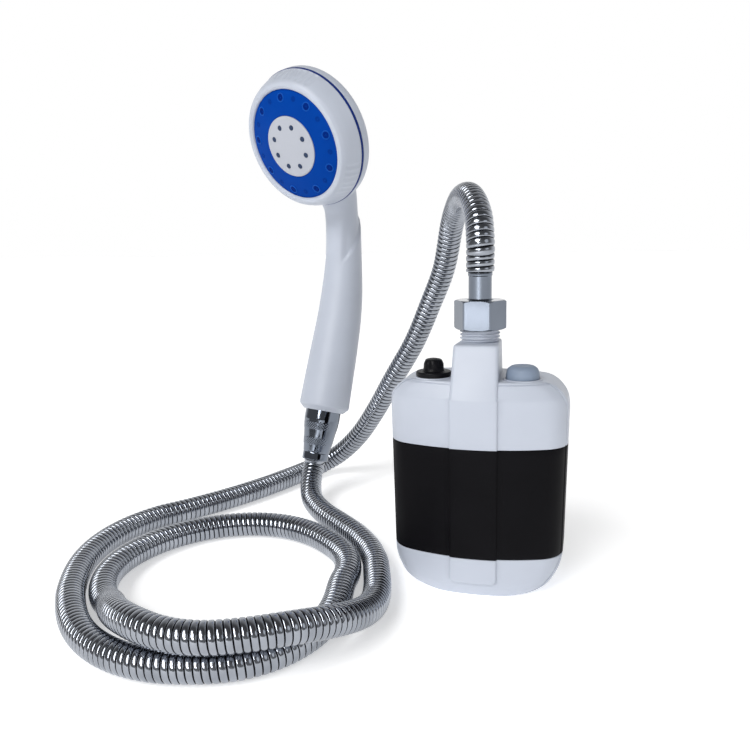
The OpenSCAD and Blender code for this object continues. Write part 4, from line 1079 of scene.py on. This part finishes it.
make("blue_face", crowned(CENTRE_R + FACE_GAP, FACE_R - FACE_GAP, 0), "spray_ring", blue_abs)
make("white_middle", crowned(0, CENTRE_R - FACE_GAP, CENTRE_LIFT), "centre_disc", white_face)

# %% [markdown]
# The blue ring carries nine ringed jets with nine small ones between, and the white middle has eight soft
# nozzles. They could be drawn on as dots. Each is a small turned piece that stands square on the bulge, so it
# catches light on one side and shade on the other. The jets' hollows are painted a deeper blue as painted
# shade, and the rims of the big jets a lighter blue as a painted highlight.

# %% Jets and nozzles
JETS, JET_R, JET_TURN, DOT_TURN = 9, 31.2, -8, 12
NOZZLES, NOZZLE_R, NOZZLE_TURN = 8, 13.6, 27


def ring_of(count, outline, sides, turned, r, lift=0.0):
    stand = Matrix.Translation((r, 0, crown(r, lift))) @ Matrix.Rotation(-math.asin(r / CROWN_R), 4, "Y")
    spots = [Matrix.Rotation(math.radians(360 / count * k + turned), 4, "Z") for k in range(count)]
    return together(*[moved(spin(outline, sides), head @ spot @ stand) for spot in spots])


jet = soften([(0.01, 0.1), (0.5, 0.1), (0.55, -0.3, 0.1), (1.4, -0.45, 0.3), (2.1, -0.3, 0.2), (2.25, 0.4)])
jet_ring = soften([(2.2, 0.4), (2.25, -0.25, 0.1), (2.6, -0.4, 0.2), (2.9, -0.2, 0.1), (3.0, 0.4)])
dot = soften([(0.01, 0.1), (0.35, 0.1), (0.4, -0.15, 0.1), (1.2, -0.2, 0.3), (1.75, -0.1, 0.1), (1.85, 0.4)])
nub = soften([(0.01, -0.35), (0.6, -0.4, 0.2), (1.5, -0.4, 0.4), (1.9, 0.3)])
nubs = ring_of(NOZZLES, nub, 24, NOZZLE_TURN, NOZZLE_R, CENTRE_LIFT)
# Painted shade in the jet hollows (deeper and softer blue) and a painted highlight on the big jets' rims
# (lighter blue).
make("spray_jets", ring_of(JETS, jet, 32, JET_TURN, JET_R), "spray_ring", blue_deep_painted_shade, replace=False)
make("jet_rings", ring_of(JETS, jet_ring, 32, JET_TURN, JET_R), "spray_ring", blue_painted_highlight, replace=False)
make("small_jets", ring_of(JETS, dot, 24, DOT_TURN, JET_R), "spray_ring", blue_soft_painted_shade, replace=False)
make("soft_nozzles", nubs, "centre_disc", nozzle_rubber, replace=False)

# %% [markdown]
# The photograph has a plain white ground. A shadow catcher could leave it out
# of the picture, but chrome needs a real white floor to mirror. This one glows
# a little, which keeps it white where no lamp reaches.

# %% Floor
FLOOR_HALF, FLOOR_Z, FLOOR_GLOW = 6, -0.0002, 0.45
corners = [(x * FLOOR_HALF, y * FLOOR_HALF, FLOOR_Z) for x, y in ((-1, -1), (1, -1), (1, 1), (-1, 1))]
floor = new_mesh("pale_floor", corners, [(0, 1, 2, 3)], False)
floor_white = finish("pale_floor", moulded, (0.97, 0.97, 0.97), (0.96, 0.96, 0.96), (0.7, 0.8), 0.02,
                     Emission_Color=(1, 1, 1, 1), Emission_Strength=FLOOR_GLOW)
floor.data.materials.append(floor_white)
print("floor is", 2 * FLOOR_HALF, "m wide")

# %% [markdown]
# The light in the photograph is soft and comes from the front. One big lamp
# would do, but it would leave the nut's middle face dark. So a low wide sun
# gives the light, two discs shape it, and a third lights the floor in front,
# which the nut mirrors.


# %% Lamps
def soft_light(name, place, target, size, power, tint=(1, 1, 1)):
    data = bpy.data.lights.new(name, "AREA")
    data.shape, data.size, data.energy, data.color = "DISK", size, power, tint
    lamp = put_in_scene(name, data)
    lamp.location = place
    lamp.rotation_euler = (Vector(target) - Vector(place)).to_track_quat("-Z", "Y").to_euler()


soft_light("key", (-0.7, -0.9, 1.3), (-0.05, 0, 0.1), 0.55, 4.5)
soft_light("fill", (1.2, -0.7, 0.7), (0, 0, 0.1), 0.8, 1.5, (0.92, 0.95, 1.0))
soft_light("bounce", (-0.22, -1.42, 0.55), (-0.22, -1.42, 0), 0.5, 10)
daylight = bpy.data.lights.new("daylight", "SUN")
daylight.energy, daylight.angle = 1.55, math.radians(30)
sun = put_in_scene("daylight", daylight)
sun.rotation_euler = (math.radians(52), 0, math.radians(-20))
print("lamps", len(bpy.data.lights))

# %% [markdown]
# The sky behind the pump is white, as in the photograph. In front and overhead
# it is dimmer, as a room is behind the camera: polished metal looks like metal
# only when it has something dark to mirror. A picture of a room could do that.
# Two smooth ramps, one along the view and one upwards, need no picture.

# %% Sky
world = bpy.data.worlds.new("studio")
bpy.context.scene.world = world
world.use_nodes = True
sky = world.node_tree
coords = sky.nodes.new("ShaderNodeTexCoord")
parts = sky.nodes.new("ShaderNodeSeparateXYZ")
feed(sky, parts, Vector=coords.outputs["Generated"])
behind = map_in(sky, parts.outputs["Y"], (-0.05, 0.65), 0.22, 1.0, "SMOOTHSTEP")
overhead = map_in(sky, parts.outputs["Z"], (0.25, 0.8), 1.0, 0.5, "SMOOTHSTEP")
feed(sky, sky.nodes["Background"], Color=(1, 1, 1, 1), Strength=sum_in(sky, "MULTIPLY", behind, overhead))
bpy.context.scene.view_settings.view_transform = "Standard"
print("sky has", len(sky.nodes), "nodes")
